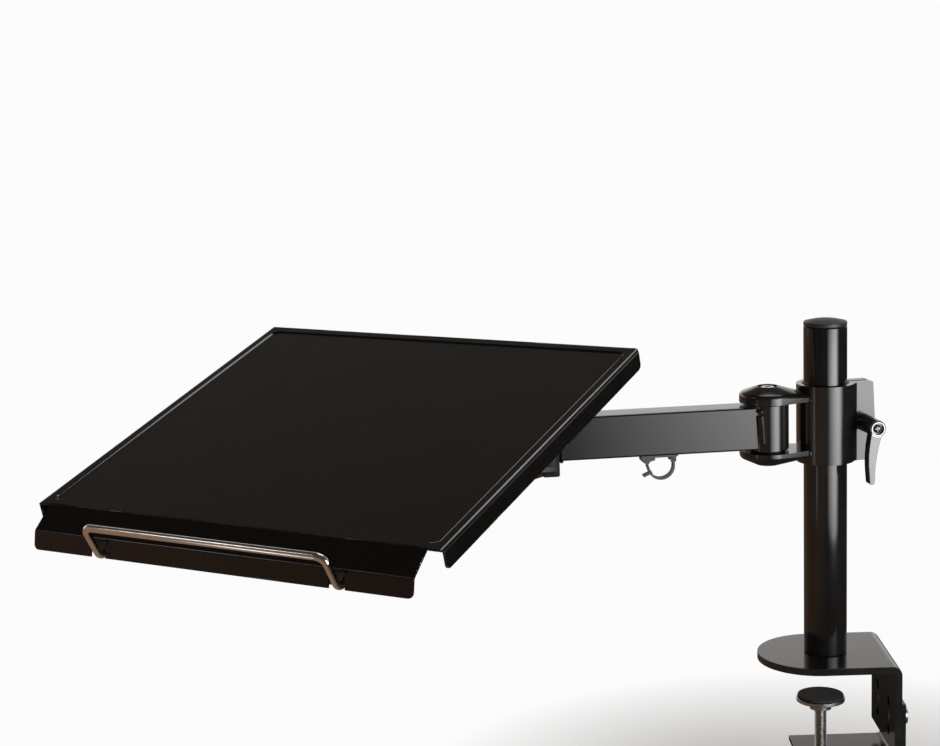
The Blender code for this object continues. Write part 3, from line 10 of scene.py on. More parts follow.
import bmesh
import bpy
import numpy as np
from mathutils import Matrix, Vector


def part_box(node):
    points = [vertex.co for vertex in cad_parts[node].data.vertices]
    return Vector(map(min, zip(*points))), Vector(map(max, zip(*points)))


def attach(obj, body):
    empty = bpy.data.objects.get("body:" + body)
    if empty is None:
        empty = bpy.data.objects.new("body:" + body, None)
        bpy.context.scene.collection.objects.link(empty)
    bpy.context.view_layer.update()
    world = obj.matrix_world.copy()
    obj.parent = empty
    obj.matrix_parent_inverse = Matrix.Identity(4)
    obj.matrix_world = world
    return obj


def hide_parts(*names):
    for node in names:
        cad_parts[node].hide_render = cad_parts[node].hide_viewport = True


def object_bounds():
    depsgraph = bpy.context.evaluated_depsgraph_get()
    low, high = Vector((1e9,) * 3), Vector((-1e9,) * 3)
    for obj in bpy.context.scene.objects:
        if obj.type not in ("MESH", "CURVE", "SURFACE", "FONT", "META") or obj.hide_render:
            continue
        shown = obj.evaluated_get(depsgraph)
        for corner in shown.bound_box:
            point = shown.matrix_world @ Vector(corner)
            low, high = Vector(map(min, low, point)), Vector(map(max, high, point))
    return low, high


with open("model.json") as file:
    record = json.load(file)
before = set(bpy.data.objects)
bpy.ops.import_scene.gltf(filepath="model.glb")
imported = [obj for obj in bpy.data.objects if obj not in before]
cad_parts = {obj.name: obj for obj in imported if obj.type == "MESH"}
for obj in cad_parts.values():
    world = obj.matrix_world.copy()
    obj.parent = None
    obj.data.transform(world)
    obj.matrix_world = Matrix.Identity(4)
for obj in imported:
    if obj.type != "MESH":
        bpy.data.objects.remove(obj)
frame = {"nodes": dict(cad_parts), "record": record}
cad_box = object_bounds()
scene = bpy.context.scene
scene.view_settings.view_transform = "Standard"


# The camera
#
# It stands about 1.6 m in front of the pole, 0.33 m above the arms, and looks 10 degrees down
# with a slight roll, through a lens that is long for the picture's size.

camera = bpy.data.objects.new("camera", bpy.data.cameras.new("camera"))
scene.collection.objects.link(camera)
camera.data.sensor_width = 36
camera.data.lens = 78.51
camera.data.clip_start = 0.05
camera_place = np.array((-0.2874, -1.6329, 0.5369))
camera_right = np.array((0.99953, -0.0053, -0.0303))
camera_forward = np.array((0, 0.98492, -0.17299))
camera_up = np.cross(camera_right, camera_forward)
camera_rows = np.stack([camera_right, camera_up, -camera_forward, camera_place], 1)
camera.matrix_world = Matrix(camera_rows.tolist() + [[0, 0, 0, 1]])
scene.camera = camera


# The studio
#
# The camera sees a seamless white floor and wall. What the coats mirror is darker: a warm floor,
# and a room that is white only low down behind the object and brown at its far left. A broad
# softbox at the front right and a narrow one at the front left draw the bright streaks.

class Socket:
    """One output socket of a material's or a world's node tree. Arithmetic on it adds Math nodes,
    so that shader maths reads as plain sums, and node() adds any other node."""

    def __init__(self, tree, socket):
        self.tree = tree
        self.socket = socket

    def node(self, kind, inputs=(), output=0, stops=(), **settings):
        """Add a node: its settings first, then its inputs, and return one of its outputs."""
        made = self.tree.nodes.new(kind)
        for name, value in settings.items():
            setattr(made, name, value)
        if stops:
            ramp = made.color_ramp
            while len(ramp.elements) < len(stops):
                ramp.elements.new(0.5)
            for element, (place, value) in zip(ramp.elements, stops):
                element.position = place
                element.color = value if isinstance(value, tuple) else (value, value, value, 1)
        for name, value in dict(inputs).items():
            if isinstance(value, Socket):
                self.tree.links.new(value.socket, made.inputs[name])
            else:
                made.inputs[name].default_value = value
        return Socket(self.tree, made.outputs[output])

    def math(self, operation, first, second=0.0):
        return self.node("ShaderNodeMath", {0: first, 1: second}, operation=operation)

    def __add__(self, other):
        return self.math("ADD", self, other)

    def __radd__(self, other):
        return self.math("ADD", other, self)

    def __sub__(self, other):
        return self.math("SUBTRACT", self, other)

    def __rsub__(self, other):
        return self.math("SUBTRACT", other, self)

    def __mul__(self, other):
        return self.math("MULTIPLY", self, other)

    def __rmul__(self, other):
        return self.math("MULTIPLY", other, self)

    def ramp(self, *stops):
        """A value or colour read off a ramp of (place, value) stops."""
        return self.node("ShaderNodeValToRGB", {"Fac": self}, stops=stops)

    def noise(self, scale, detail=3.0, roughness=0.5, stretch=None):
        """Noise of so many lumps per metre on this vector, stretched along an axis if asked."""
        vector = self
        if stretch:
            vector = self.node("ShaderNodeMapping", {"Vector": self, "Scale": stretch})
        return self.node("ShaderNodeTexNoise", {
            "Vector": vector, "Scale": scale, "Detail": detail, "Roughness": roughness})

    def blend(self, first, second):
        """A colour between two colours, by this factor."""
        return self.node("ShaderNodeMix", {0: self, 6: first, 7: second}, output=2,
                         data_type="RGBA")


def new_finish(name, **sockets):
    """A material with constant sockets set on its shader; returns it, Object coordinates and a
    function that links a varying value to one of the shader's sockets."""
    material = bpy.data.materials.new(name)
    material.use_nodes = True
    tree = material.node_tree
    shader = tree.nodes["Principled BSDF"]
    for socket, value in sockets.items():
        shader.inputs[socket.replace("_", " ")].default_value = value
    place = Socket(tree, tree.nodes.new("ShaderNodeTexCoord").outputs["Object"])

    def feed(socket, value):
        tree.links.new(value.socket, shader.inputs[socket])

    return material, place, feed


def put(place, x, y, z):
    """Points in millimetres along a place's own axes, as metres in the row frame."""
    origin, axes = place
    local = np.stack(np.broadcast_arrays(x, y, z), -1) * 0.001
    return local @ axes + np.array(origin)


def stand(origin, across, up):
    """A place: its origin in metres and, as rows, its X, Y and Z axes. Z is up, and X is the
    part of across that is square to it."""
    up = np.array(up, float) / np.linalg.norm(up)
    across = np.array(across, float) - up * np.dot(across, up)
    across /= np.linalg.norm(across)
    return origin, np.stack([across, np.cross(up, across), up])


def skin(name, *grids):
    """One mesh object of quads from grids of points (rows, columns, 3). Points that coincide
    are merged, so that grids with a common edge join and a row at one point closes an end."""
    points, quads, start = [], [], 0
    for grid in grids:
        rows, columns = grid.shape[:2]
        index = np.arange(rows * columns).reshape(rows, columns) + start
        quads.append(np.stack(
            [index[:-1, :-1], index[:-1, 1:], index[1:, 1:], index[1:, :-1]], -1).reshape(-1, 4))
        points.append(grid.reshape(-1, 3))
        start += rows * columns
    mesh = bpy.data.meshes.new(name)
    mesh.from_pydata(np.concatenate(points), [], np.concatenate(quads))
    shape = bmesh.new()
    shape.from_mesh(mesh)
    bmesh.ops.remove_doubles(shape, verts=shape.verts, dist=0.0000005)
    bmesh.ops.recalc_face_normals(shape, faces=shape.faces)
    shape.to_mesh(mesh)
    shape.free()
    return bpy.data.objects.new(name, mesh)


def lay_floor():
    """A flat sheet 1 mm under the object. The camera sees it fade to white away from the object,
    and the coats mirror it as a dark, warm floor that turns brown to the left."""
    level = float(cad_box[0][2]) - 0.001
    side, front, back = 9000, -4000, 12000
    u, v = np.meshgrid(np.linspace(-side, side, 9), np.linspace(front, back, 9))
    floor = skin("floor", put(stand((0, 0, level), (1, 0, 0), (0, 0, 1)), u, v, 0 * u))
    scene.collection.objects.link(floor)

    paper, place, feed = new_finish("floor_paper", Roughness=0.7, Specular_IOR_Level=0.2)
    feed("Base Color", place.noise(3.0, 2.0).ramp(
        (0.3, (0.80, 0.79, 0.77, 1)), (0.7, (0.84, 0.83, 0.81, 1))))
    tree = paper.node_tree
    shaded = Socket(tree, tree.nodes["Principled BSDF"].outputs[0])

    leftward = place.node("ShaderNodeSeparateXYZ", {0: place}, output=0) * -0.5
    brown = leftward.ramp((0.0, (0.02, 0.018, 0.016, 1)), (0.06, (0.09, 0.06, 0.04, 1)),
                          (0.2, (0.26, 0.165, 0.1, 1)))
    warm = place.node("ShaderNodeEmission", {"Color": brown, "Strength": 1.0})
    mirrored = place.node("ShaderNodeLightPath", output="Is Glossy Ray")
    below = place.node("ShaderNodeMixShader", {0: mirrored, 1: shaded, 2: warm})

    white = place.node("ShaderNodeEmission", {"Color": (0.97, 0.97, 0.97, 1), "Strength": 1.0})
    away = place.node("ShaderNodeVectorMath", {0: place}, output="Value", operation="LENGTH")
    seen = place.node("ShaderNodeLightPath", output="Is Camera Ray")
    fade = seen * (away * 0.5).ramp((0.06, 0.0), (0.2, 1.0))
    mixed = place.node("ShaderNodeMixShader", {0: fade, 1: below, 2: white})
    tree.links.new(mixed.socket, tree.nodes["Material Output"].inputs["Surface"])
    floor.data.materials.append(paper)


def light_room():
    """The world: plain white to the camera. To other rays it is a glow that fades with height
    behind the object, and in front of it dark but for a brown patch at the far left."""
    room = bpy.data.worlds.new("room")
    room.use_nodes = True
    scene.world = room
    tree = room.node_tree
    tree.nodes.clear()
    ray = Socket(tree, tree.nodes.new("ShaderNodeTexCoord").outputs["Generated"])
    leftward = ray.node("ShaderNodeSeparateXYZ", {0: ray}, output=0) * -1.0
    backward = ray.node("ShaderNodeSeparateXYZ", {0: ray}, output=1)
    height = ray.node("ShaderNodeSeparateXYZ", {0: ray}, output=2)
    pale, dim, dark = (1.0, 0.97, 0.94, 1), (0.1, 0.09, 0.08, 1), (0.02, 0.019, 0.017, 1)
    behind = height.ramp((0.0, pale), (0.28, pale), (0.45, dim), (0.66, dim), (0.82, dark))
    before = leftward.ramp((0.78, (0.06, 0.05, 0.045, 1)), (0.93, (0.3, 0.18, 0.13, 1)))
    light = ray.node("ShaderNodeBackground", {
        "Color": backward.ramp((0.2, 0.0), (0.6, 1.0)).blend(before, behind), "Strength": 1.15})
    white = ray.node("ShaderNodeBackground", {"Color": (0.97, 0.97, 0.97, 1), "Strength": 1.0})
    seen = ray.node("ShaderNodeLightPath", output="Is Camera Ray")
    mixed = ray.node("ShaderNodeMixShader", {0: seen, 1: light, 2: white})
    end = tree.nodes.new("ShaderNodeOutputWorld")
    tree.links.new(mixed.socket, end.inputs["Surface"])


def softbox(name, azimuth, distance, width, low, high, fade, strength):
    """A glowing panel that faces the object from an azimuth off -Y, as a grid across and up. Its
    glow falls off evenly over a share of its size at the left, right, foot and top."""
    middle_x = -0.05
    place = stand((distance * sin(azimuth) + middle_x, -distance * cos(azimuth), 0),
                  (cos(azimuth), sin(azimuth), 0), (0, 0, 1))
    u, v = np.meshgrid(np.linspace(0, 1, 9), np.linspace(0, 1, 9))
    panel = skin(name, put(place, (u - 0.5) * width, 0 * u, low + v * (high - low)))
    scene.collection.objects.link(panel)
    layer = panel.data.uv_layers.new(name="panel")
    corners = np.array([panel.data.vertices[loop.vertex_index].co for loop in panel.data.loops])
    local = (corners - np.array(place[0])) @ place[1].T * 1000
    spots = np.stack([local[:, 0] / width + 0.5, (local[:, 2] - low) / (high - low)], -1)
    layer.data.foreach_set("uv", spots.reshape(-1))

    glow, start, feed = new_finish(name + "_glow", Base_Color=(0, 0, 0, 1), Roughness=1.0,
                                   Emission_Strength=strength)
    mapped = start.node("ShaderNodeTexCoord", output="UV")
    across = start.node("ShaderNodeSeparateXYZ", {0: mapped}, output=0)
    upward = start.node("ShaderNodeSeparateXYZ", {0: mapped}, output=1)
    left, right, foot, top = fade
    sides = across.ramp((0.0, 0.0), (left, 1.0), (1 - right, 1.0), (1.0, 0.0))
    ends = upward.ramp((0.0, 0.0), (foot, 1.0), (1 - top, 1.0), (1.0, 0.0))
    feed("Emission Color", sides * ends)
    panel.data.materials.append(glow)
    panel.visible_camera = False


def area_lamp(name, wide, deep, power, spot):
    """A rectangular lamp that shines straight down from a spot, unseen by the camera."""
    lamp = bpy.data.objects.new(name, bpy.data.lights.new(name, "AREA"))
    lamp.data.shape = "RECTANGLE"
    lamp.data.size, lamp.data.size_y, lamp.data.energy = wide, deep, power
    lamp.matrix_world = Matrix.Translation(spot)
    lamp.visible_camera = False
    scene.collection.objects.link(lamp)


lay_floor()
light_room()
softbox("key_softbox", azimuth=radians(34), distance=0.8, width=930, low=-420, high=480,
        fade=(0.56, 0.28, 0.6, 0.25), strength=9.4)
softbox("side_softbox", azimuth=radians(-52), distance=0.9, width=130, low=-134, high=140,
        fade=(0.4, 0.4, 0.1, 0.3), strength=1.8)
area_lamp("top_lamp", wide=1.3, deep=0.9, power=12, spot=(0.4, 0.9, 2.2))
area_lamp("left_lamp", wide=0.5, deep=0.5, power=2.2, spot=(-2.05, -0.82, 1.38))


# The clamp
#
# A 6 mm steel plate is bent down into a flange, and a 4 mm jaw bolts to it, both in a gloss black
# powder coat with a faint orange peel. A zinc-plated screw with a plastic knob pushes a
# rubber-faced disc up from below.

def gloss_black(name, peel=1.0, tone=0.006, polish=0.15):
    """Gloss black powder coat: an orange-peel bump, dust specks and slightly uneven gloss."""
    material, place, feed = new_finish(name, Metallic=0.0, IOR=1.52)
    cloud = place.noise(28.0, 4.0, 0.6)
    specks = place.noise(1400.0, 2.0, 0.7).ramp((0.68, 0.0), (0.76, 1.0))
    dark = (tone * 0.85, tone * 0.8, tone * 0.78, 1)
    pale = (tone * 1.5, tone * 1.42, tone * 1.38, 1)
    dust = (0.06, 0.055, 0.05, 1)
    coat = cloud.ramp((0.3, dark), (0.75, pale))
    feed("Base Color", (specks * 0.3).blend(coat, dust))
    feed("Roughness", cloud * 0.09 + specks * 0.12 + (polish - 0.045))
    swell = place.noise(420.0, 2.0, 0.5)
    grain = place.noise(1500.0, 2.0, 0.5)
    feed("Normal", place.node("ShaderNodeBump", {
        "Height": swell * 0.8 + grain * 0.2, "Strength": 0.08 * peel, "Distance": 0.0004}))
    return material


def rounded(piece, width, crisp):
    """A bevel in two steps of every edge whose faces meet at more than an angle in degrees."""
    rounding = piece.modifiers.new("Edges", "BEVEL")
    rounding.width = width
    rounding.segments = 2
    rounding.limit_method = "ANGLE"
    rounding.angle_limit = radians(crisp)


def dressed(piece, finish, node, crisp=35):
    """Link a finished piece, give it its finish, and let it stand for its part and ride there."""
    scene.collection.objects.link(piece)
    piece.data.materials.append(finish)
    piece.data.polygons.foreach_set("use_smooth", [True] * len(piece.data.polygons))
    piece.data.set_sharp_from_angle(angle=radians(crisp))
    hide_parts(node)
    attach(piece, body_of_node[node])


def softened(node, edge, finish):
    """A copy of a cut part with its flat faces merged and its edges rounded, in its place. Large
    faces count most in its normals, so that they mirror as flat faces do."""
    shape = bmesh.new()
    shape.from_mesh(frame["nodes"][node].data)
    bmesh.ops.remove_doubles(shape, verts=shape.verts, dist=0.00001)
    bmesh.ops.dissolve_limit(shape, angle_limit=radians(1.5), verts=shape.verts, edges=shape.edges)
    mesh = bpy.data.meshes.new(node + "_skin")
    shape.to_mesh(mesh)
    shape.free()
    piece = bpy.data.objects.new(node + "_skin", mesh)
    if edge:
        rounded(piece, edge, 32)
    shading = piece.modifiers.new("Flat faces", "WEIGHTED_NORMAL")
    shading.keep_sharp = True
    dressed(piece, finish, node)


body_of_node = {
    node: body for body, nodes in frame["record"]["behaviour"]["bodies"].items() for node in nodes}

bracket_coat = gloss_black("bracket_coat", tone=0.009)
softened("clamp_bracket", 0.0005, bracket_coat)
softened("clamp_jaw", 0.0004, bracket_coat)
softened("jaw_nut", 0.0005, bracket_coat)


def dull_rubber(name):
    """Black foam rubber: fine open pores and a dusty bloom."""
    material, place, feed = new_finish(name, Metallic=0.0, Specular_IOR_Level=0.3)
    pores = place.node("ShaderNodeTexVoronoi", {"Vector": place, "Scale": 1800.0})
    bloom = place.noise(60.0, 4.0, 0.6)
    feed("Base Color", bloom.ramp((0.3, (0.012, 0.012, 0.012, 1)), (0.8, (0.035, 0.034, 0.033, 1))))
    feed("Roughness", bloom * 0.15 + 0.72)
    feed("Normal", place.node("ShaderNodeBump", {
        "Height": pores, "Strength": 0.4, "Distance": 0.0002}))
    return material


def bright_metal(name, colour, polish, grain):
    """Plated or plain steel: fine turning lines across Z and cloudy plating."""
    material, place, feed = new_finish(name, Metallic=1.0)
    lines = place.noise(grain, 2.0, 0.6, stretch=(1.0, 1.0, 12.0))
    cloud = place.noise(150.0, 3.0, 0.6)
    dull = tuple(c * 0.72 for c in colour) + (1,)
    feed("Base Color", (lines * 0.5 + cloud * 0.5).ramp((0.3, dull), (0.7, (*colour, 1))))
    feed("Roughness", lines * 0.12 + cloud * 0.08 + (polish - 0.1))
    feed("Normal", place.node("ShaderNodeBump", {
        "Height": lines, "Strength": 0.12, "Distance": 0.0001}))
    return material


def moulded_plastic(name, colour, roughness, grain=900.0):
    """Injection-moulded plastic: a fine spark-eroded grain and faint flow marks."""
    material, place, feed = new_finish(name, Metallic=0.0, IOR=1.5)
    flow = place.noise(35.0, 3.0, 0.55, stretch=(1.0, 1.0, 3.0))
    texture = place.noise(grain, 3.0, 0.6)
    low = tuple(c * 0.8 for c in colour) + (1,)
    high = tuple(min(1, c * 1.25) for c in colour) + (1,)
    feed("Base Color", flow.ramp((0.3, low), (0.75, high)))
    feed("Roughness", texture * 0.2 + (roughness - 0.1))
    feed("Normal", place.node("ShaderNodeBump", {
        "Height": texture, "Strength": 0.25, "Distance": 0.00012}))
    return material


def threaded(place, radius, low, high, pitch, depth):
    """A screwed rod: its radius dips by the thread's depth in a flat-bottomed V, once for each
    pitch of height and each turn, and fades to a chamfer at both ends."""
    rows_per_pitch = 9
    z = np.linspace(low, high, int((high - low) / pitch * rows_per_pitch))[:, None]
    angle = np.linspace(0, 2 * pi, 41)
    phase = np.abs((z / pitch - angle / (2 * pi)) % 1 - 0.5) * 2
    dip = depth * np.clip(phase * 1.5 - 0.25, 0, 1)
    ends = np.clip(np.minimum(z - low, high - z) / pitch, 0, 1)
    r = radius - depth * (1 - ends) - dip * ends
    side = put(place, r * np.cos(angle), r * np.sin(angle), z)
    lids = [put(place, 0 * angle, 0 * angle, end + 0 * angle)[None] for end in (low, high)]
    return np.concatenate([lids[0], side, lids[1]])


pad_rubber = dull_rubber("pad_rubber")
zinc_plate = bright_metal("zinc_plate", (0.52, 0.52, 0.5), 0.34, 900.0)
plain_steel = bright_metal("plain_steel", (0.66, 0.65, 0.63), 0.24, 1200.0)
black_plastic = moulded_plastic("black_plastic", (0.02, 0.02, 0.021), 0.45)
softened("desk_pad", 0.0002, pad_rubber)
softened("pressure_pad", 0.0003, pad_rubber)
softened("jaw_bolt_front", 0.0003, zinc_plate)
softened("jaw_bolt_back", 0.0003, zinc_plate)
softened("pressure_disc", 0.0004, zinc_plate)
screw_foot = stand((-0.004, 0, 0), (1, 0, 0), (0, 0, 1))
screw_low, screw_high = (corner[2] * 1000 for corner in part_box("clamp_screw"))
screw_thread = threaded(screw_foot, 5, screw_low, screw_high, pitch=1.5, depth=0.85)
dressed(skin("clamp_screw_thread", screw_thread), zinc_plate, "clamp_screw")
softened("clamp_knob", 0.0006, black_plastic)


# The pole
#
# A 35 mm steel tube, coated like the rest, with a plastic cap pushed into its top and a bolt
# from below through a plug in its foot.

def spun(place, profile):
    """A profile of (radius, height) pairs in millimetres turned round a place's Z axis."""
    radius, height = np.array(profile, float).T[:, :, None]
    angle = np.linspace(0, 2 * pi, 97)
    return put(place, radius * np.cos(angle), radius * np.sin(angle), height)


def eased(corners, radius, steps=8):
    """A path whose inner corners become arcs of one radius that touch both legs, in any number
    of dimensions. Each arc's points share its sweep evenly."""
    corners = [np.array(c, float) for c in corners]
    path = [corners[0]]
    for before, corner, after in zip(corners, corners[1:], corners[2:]):
        back = (before - corner) / np.linalg.norm(before - corner)
        ahead = (after - corner) / np.linalg.norm(after - corner)
        half = np.arccos(np.clip(back @ ahead, -1, 1)) / 2
        middle = corner + (back + ahead) / np.linalg.norm(back + ahead) * radius / np.sin(half)
        first = corner + back * radius / np.tan(half) - middle
        last = corner + ahead * radius / np.tan(half) - middle
        sweep = pi - 2 * half
        for share in np.linspace(0, 1, steps + 1):
            path.append(middle + (first * np.sin((1 - share) * sweep)
                                  + last * np.sin(share * sweep)) / np.sin(sweep))
    return path + [corners[-1]]


pole_foot = stand((0, 0, 0.0076), (1, 0, 0), (0, 0, 1))
pole_coat = gloss_black("pole_coat", 0.6, tone=0.007, polish=0.12)
pole_radius, pole_bore, pole_top, wall_middle = 17.5, 15, 272.3, 16.2
wall = [(wall_middle, 0), (pole_radius, 0), (pole_radius, pole_top), (pole_bore, pole_top),
        (pole_bore, 0), (wall_middle, 0)]
dressed(skin("pole_skin", spun(pole_foot, eased(wall, 0.5, 4))), pole_coat,
        "pole_tube")

plug_radius, plug_end, cap_seat, cap_rim = 14.7, 258.6, 272.6, 276.2
dome_radius, dome_rise = 16.3, 2.4
cap = [(0, plug_end), (plug_radius, plug_end), (plug_radius, cap_seat), (pole_radius, cap_seat),
       (pole_radius, cap_rim), (dome_radius, cap_rim)]
dome = [(dome_radius * (1 - t), cap_rim + dome_rise * (1 - (1 - t) ** 2))
        for t in np.linspace(0, 1, 14)]
dressed(skin("cap_skin", spun(pole_foot, eased(cap, 0.9, 5)[:-1] + dome)), black_plastic,
        "pole_cap")
softened("pole_foot_plug", 0.0, zinc_plate)
softened("pole_bolt", 0.0, zinc_plate)


# The height collar
#
# A split steel collar with two ears and a fork, closed by a cast lever on a stud. The lever's
# hub end has a painted highlight: a bright metallic ring round a sunk screw, standing in for
# the light its chamfered rim catches.

def cast_lever(name):
    """Satin black casting with a painted highlight: a metallic ring on the hub's end, 38 mm along
    the hub's axis and 5 to 6.7 mm away from it, that stands in for the light its chamfered rim
    catches. The ramps span 50 mm along the axis and 10 mm off it."""
    hub, hub_axis = (0.029134, 0.005769, 0.2002), (0.19423, -0.98096, 0.0)
    material, place, feed = new_finish(name, IOR=1.8)
    from_hub = place.node("ShaderNodeVectorMath", {0: place, 1: hub}, operation="SUBTRACT")
    along = place.node("ShaderNodeVectorMath", {0: from_hub, 1: hub_axis}, output="Value",
                       operation="DOT_PRODUCT")
    whole = place.node("ShaderNodeVectorMath", {0: from_hub}, output="Value", operation="LENGTH")
    off = place.math("SQRT", place.math("MAXIMUM", whole * whole - along * along, 0.0))
    # The ring is a painted highlight that stands in for the light on the hub's chamfered rim.
    hub_end_face = (along * 20.0).ramp((0.768, 0.0), (0.770, 1.0))
    within_ring = (off * 100.0).ramp((0.66, 1.0), (0.68, 0.0))
    beyond_recess = (off * 100.0).ramp((0.49, 0.0), (0.52, 1.0))
    painted_ring_highlight = hub_end_face * within_ring * beyond_recess
    grain = place.noise(900.0, 3.0, 0.6)
    ring_streaks = (off * 4000.0).noise(1.0, 2.0)
    paint = grain.ramp((0.3, (0.010, 0.010, 0.011, 1)), (0.75, (0.024, 0.023, 0.024, 1)))
    # The painted ring highlight is grey metal laid over the black paint.
    feed("Base Color", painted_ring_highlight.blend(paint, (0.3, 0.295, 0.29, 1)))
    feed("Metallic", painted_ring_highlight)
    feed("Roughness", grain * 0.1 + 0.22 + painted_ring_highlight * ring_streaks * 0.2)
    feed("Normal", place.node("ShaderNodeBump", {
        "Height": grain, "Strength": 0.12, "Distance": 0.0003}))
    return material


coat = gloss_black("arm_coat", tone=0.008)
bush_nylon = moulded_plastic("bush_nylon", (0.025, 0.024, 0.024), 0.45, 500.0)
softened("height_collar", 0.0006, coat)
softened("collar_bush", 0.0, bush_nylon)
softened("collar_washer", 0.0003, zinc_plate)
softened("collar_nut", 0.0004, zinc_plate)
softened("clamp_lever", 0.0006, cast_lever("lever_coat"))
softened("lever_stud", 0.0, zinc_plate)
dark_steel = bright_metal("dark_steel", (0.16, 0.158, 0.155), 0.3, 1200.0)
softened("lever_screw", 0.0002, dark_steel)


# The pivots
#
# Each vertical pivot is a plain steel socket-head bolt in a well, a zinc-plated nut below it and
# two flanged nylon bushes that carry the knuckle.

for pivot in ("elbow", "middle", "wrist"):
    softened(pivot + "_bolt", 0.0003, plain_steel)
    softened(pivot + "_nut", 0.0004, zinc_plate)
    softened(pivot + "_bush_upper", 0.0002, bush_nylon)
    softened(pivot + "_bush_lower", 0.0002, bush_nylon)


# The arms
#
# Rectangular tube welded to a round knuckle at one end and to a forged fork at the other, with
# beads rippled like a row of coins. Short beads also hold the collar's own fork, and a plastic
# clip for cables hangs under the first arm.

def swept(place, path, across, up, start_up, scale=None):
    """A closed section (across, up) carried along a path, all in millimetres. At every point it
    lies across the path, turned only as much as the path turns, and scaled if asked."""
    path = np.array(path, float)
    ahead = np.gradient(path, axis=0)
    ahead /= np.linalg.norm(ahead, axis=1)[:, None]
    tops = []
    top = np.array(start_up, float)
    for way in ahead:
        top = top - way * (top @ way)
        top /= np.linalg.norm(top)
        tops.append(top)
    tops = np.array(tops)
    sides = np.cross(ahead, tops)
    scale = np.ones(len(path)) if scale is None else scale
    spread = (sides[:, None] * np.array(across)[None, :, None]
              + tops[:, None] * np.array(up)[None, :, None]) * scale[:, None, None]
    points = path[:, None] + spread
    return put(place, points[..., 0], points[..., 1], points[..., 2])


def weld(place, corners, corner_radius, width, height, start_up):
    """A weld bead along a path: an oval section that narrows in a rounded saw, once for each
    coin of 1.6 mm, and closes in a round nose at both ends."""
    step, coin, coin_dip, nose = 0.2, 1.6, 0.16, 1.8
    rough = np.array(eased(corners, corner_radius, 10))
    length = np.concatenate([[0], np.cumsum(np.linalg.norm(np.diff(rough, axis=0), axis=1))])
    run = np.linspace(0, length[-1], int(length[-1] / step))
    path = np.stack([np.interp(run, length, rough[:, i]) for i in range(3)], -1)
    ripple = 1 - coin_dip * ((run / coin) % 1) ** 2
    ends = np.clip(np.minimum(run, length[-1] - run) / nose, 0, 1)
    turn = np.linspace(0, 2 * pi, 21)
    return swept(place, path, width / 2 * np.cos(turn), height / 2 * np.sin(turn), start_up,
                 ripple * np.sqrt(1 - (1 - ends) ** 2))


def welded(name, grids, body):
    """Weld beads as one piece in the coat's finish that rides on a body."""
    beads = skin(name, *grids)
    scene.collection.objects.link(beads)
    beads.data.materials.append(coat)
    beads.data.polygons.foreach_set("use_smooth", [True] * len(beads.data.polygons))
    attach(beads, body)


def arm_welds(place):
    """Beads where the tube meets the knuckle: one down each side with a blob at its top, and an
    arc above and below. Another bead runs round the tube at the fork's block."""
    grids = []
    for side in (-1, 1):
        seam = [(9.6, side * 14.2, 11.5), (8.6, side * 14.8, 0), (8.0, side * 15.1, -12.8)]
        grids.append(weld(place, seam, 60, 6.4, 4.6, (0.2, side, 0)))
        blob = [(9.4, side * 14.3, 12.6), (9.8, side * 14.1, 16.6)]
        grids.append(weld(place, blob, 1, 6.4, 5.2, (0.2, side, 0)))
    knuckle, level, sweep = 17.2, 17.3, 0.78
    for height in (-level, level):
        arc = [(knuckle * cos(a), knuckle * sin(a), height) for a in np.linspace(-sweep, sweep, 16)]
        grids.append(weld(place, arc, 40, 3.4, 2.6, (0, 0, 1)))
    block, wide, tall = 170.9, 12.6, 17.6
    loop = [(block, -wide, 0), (block, -wide, tall), (block, wide, tall), (block, wide, -tall),
            (block, -wide, -tall), (block, -wide, -1.5)]
    grids.append(weld(place, loop, 3.2, 4.2, 3.2, (1, 0, 0)))
    return grids


def fork_welds(place):
    """A short bead at each corner where the fork's plates meet the collar's wall."""
    root_x, root_y = 18.6, 14.9
    grids = []
    for side in (-1, 1):
        for low, high in ((19.4, 23.0), (-24.8, -19.6)):
            seam = [(root_x, side * root_y, low), (root_x, side * root_y, high)]
            grids.append(weld(place, seam, 1, 3.4, 3.0, (0.78, side * 0.62, 0)))
    return grids


arm_places = {
    "arm_one": stand((-0.048263, -0.009556, 0.2013), (-0.993274, -0.115804, 0), (0, 0, 1)),
    "arm_two": stand((-0.254168, -0.033562, 0.2013), (-0.447759, -0.894154, 0), (0, 0, 1))}
for arm, arm_place in arm_places.items():
    softened(arm, 0.0006, coat)
    welded(arm + "_welds", arm_welds(arm_place), body_of_node[arm])
fork_place = stand((0, 0, 0.2013), (-0.980955, -0.194234, 0), (0, 0, 1))
welded("fork_welds", fork_welds(fork_place), body_of_node["height_collar"])
clip_plastic = moulded_plastic("clip_plastic", (0.06, 0.06, 0.062), 0.5)
softened("cable_clip_base", 0.0003, clip_plastic)
softened("cable_clip_strap", 0.0003, clip_plastic)


# The tilt head
#
# A barrel on a neck, held between the two ears of a pressed bracket by a plain steel bolt. Both
# are coated like the arms, and a nylon washer stands at each end of the barrel.

softened("tilt_head", 0.0006, coat)
softened("tilt_bracket", 0.0005, coat)
softened("tilt_bolt", 0.0003, plain_steel)
softened("tilt_nut", 0.0004, zinc_plate)
softened("tilt_washer_left", 0.0002, bush_nylon)
softened("tilt_washer_right", 0.0002, bush_nylon)


# The tray
#
# One 1.5 mm steel sheet, pressed 1 mm deep within a 7 mm rim, bent down at both sides and, in
# front, bent twice into a sloping lip with two notches. Four flush screws hold it, and two
# plastic guides for the wire are screwed under it.

tray_place = stand((-0.372870, -0.263929, 0.264200), (0.866897, -0.498488, 0),
                   (-0.134053, -0.233126, 0.963163))
half_width, half_depth = 156.0, 143.5
bend, flange, flange_corner = 2.6, 14.4, 3.5
front_corner, back_corner = 2, 3
recess_inset, recess_corner, recess_wall = 7, 6, 1.4
lip_half, lip_corner, lip_start = 145, 3.5, 0.66
wire_half, notch_half, notch_corner, notch_top = 91.5, 6, 3, 9.8


